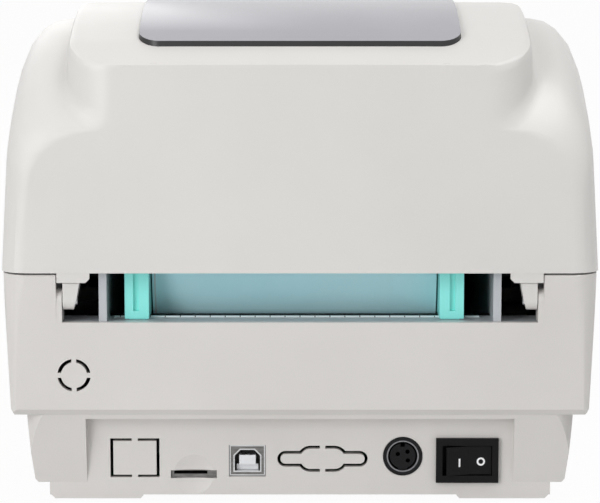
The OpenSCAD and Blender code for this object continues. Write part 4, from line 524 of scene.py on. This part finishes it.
MARK_LINE, MARK_H, MARK_T = 0.6 * MM, 2.8 * MM, 0.05 * MM
marks = bmesh.new()
stroke = Matrix.Diagonal((MARK_LINE, MARK_H, 0.08 * MM, 1.0))
bmesh.ops.create_cube(marks, size=1.0, matrix=on_rocker(3.1, -0.6) @ stroke)
ring = bmesh.new()
bmesh.ops.create_circle(ring, cap_ends=True, radius=MARK_H / 2, segments=40)
bmesh.ops.inset_region(ring, faces=ring.faces[:], thickness=MARK_LINE, use_boundary=True,
                       use_even_offset=True)
bmesh.ops.delete(ring, geom=[face for face in ring.faces if len(face.verts) > 4], context="FACES")
raised = bmesh.ops.extrude_face_region(ring, geom=ring.faces[:])["geom"]
bmesh.ops.translate(ring, verts=[v for v in raised if isinstance(v, bmesh.types.BMVert)],
                    vec=(0, 0, MARK_T))
bmesh.ops.transform(ring, matrix=on_rocker(-4.2, -0.4), verts=ring.verts)
piece_from(marks, "switch_mark_on", mark_paint, "rocker")
piece_from(ring, "switch_mark_off", mark_paint, "rocker")

# %% [markdown]
# ## Studio
# The photograph has a white background with almost no shadow. A soft key lamp stands high on the
# viewer's left, a level lamp below it reaches into the slot and the sockets, a broad lamp overhead
# lights the lid, and two weak ones fill the right and the front. The world gives the rest. The
# floor is pale and keeps the object's shadow; for the camera and for reflections it is mixed with
# plain white. It lies a fifth of a millimetre under the feet, so the two never share a plane.

# %% Floor and background
def pale_floor():
    material, tree, shader, place = start("floor_paper_white")
    shader.inputs["Base Color"].default_value = linear("#d6d6d6")
    shader.inputs["Roughness"].default_value = 0.9
    path = add(tree, "ShaderNodeLightPath")
    seen = add(tree, "ShaderNodeMath", {"operation": "MAXIMUM"},
               {0: path.outputs["Is Camera Ray"], 1: path.outputs["Is Glossy Ray"]})
    share = add(tree, "ShaderNodeMath", {"operation": "MULTIPLY", 1: 0.96}, {0: seen.outputs["Value"]})
    white = add(tree, "ShaderNodeEmission", {"Color": (1, 1, 1, 1), "Strength": 1.0})
    mix = add(tree, "ShaderNodeMixShader", links={0: share.outputs["Value"], 1: shader.outputs["BSDF"],
                                                  2: white.outputs["Emission"]})
    tree.links.new(mix.outputs["Shader"], tree.nodes["Material Output"].inputs["Surface"])
    return material


floor_shape = bmesh.new()
bmesh.ops.create_grid(floor_shape, x_segments=1, y_segments=1, size=6.0)
floor_mesh = bpy.data.meshes.new("studio_floor")
floor_shape.to_mesh(floor_mesh)
floor_shape.free()
floor_mesh.transform(Matrix.Translation((0.0, 0.0, -0.2 * MM)))
floor = bpy.data.objects.new("studio_floor", floor_mesh)
floor_mesh.materials.append(pale_floor())
scene.collection.objects.link(floor)

world = bpy.data.worlds.new("studio_world")
world.use_nodes = True
scene.world = world
tree = world.node_tree
path = add(tree, "ShaderNodeLightPath")
seen = add(tree, "ShaderNodeMath", {"operation": "MAXIMUM"},
           {0: path.outputs["Is Camera Ray"], 1: path.outputs["Is Glossy Ray"]})
seen = add(tree, "ShaderNodeMath", {"operation": "MAXIMUM"},
           {0: seen.outputs["Value"], 1: path.outputs["Is Transmission Ray"]})
strength = add(tree, "ShaderNodeMapRange", {"To Min": 0.50, "To Max": 1.0},
               {"Value": seen.outputs["Value"]})
background = tree.nodes["Background"]
background.inputs["Color"].default_value = (1, 1, 1, 1)
tree.links.new(strength.outputs["Result"], background.inputs["Strength"])

# %% Lamps
def soft_lamp(name, place, target, size, power):
    data = bpy.data.lights.new(name, "AREA")
    data.shape = "SQUARE"
    data.size = size
    data.energy = power
    lamp = bpy.data.objects.new(name, data)
    lamp.location = place
    lamp.rotation_euler = (Vector(target) - Vector(place)).to_track_quat("-Z", "Y").to_euler()
    scene.collection.objects.link(lamp)


soft_lamp("key_lamp", (0.9, 1.0, 0.7), (0, 0, 0.08), 0.6, 5.5)
soft_lamp("level_lamp", (0.8, 1.4, 0.12), (0, 0, 0.06), 0.5, 5.8)
soft_lamp("fill_lamp", (-1.2, 1.2, 0.6), (0, 0, 0.08), 1.0, 0.3)
soft_lamp("overhead_lamp", (-0.55, 0.4, 1.6), (0, 0, 0.1), 0.9, 12)
soft_lamp("front_lamp", (0.6, -1.6, 1.0), (0, 0, 0.08), 1.0, 5)
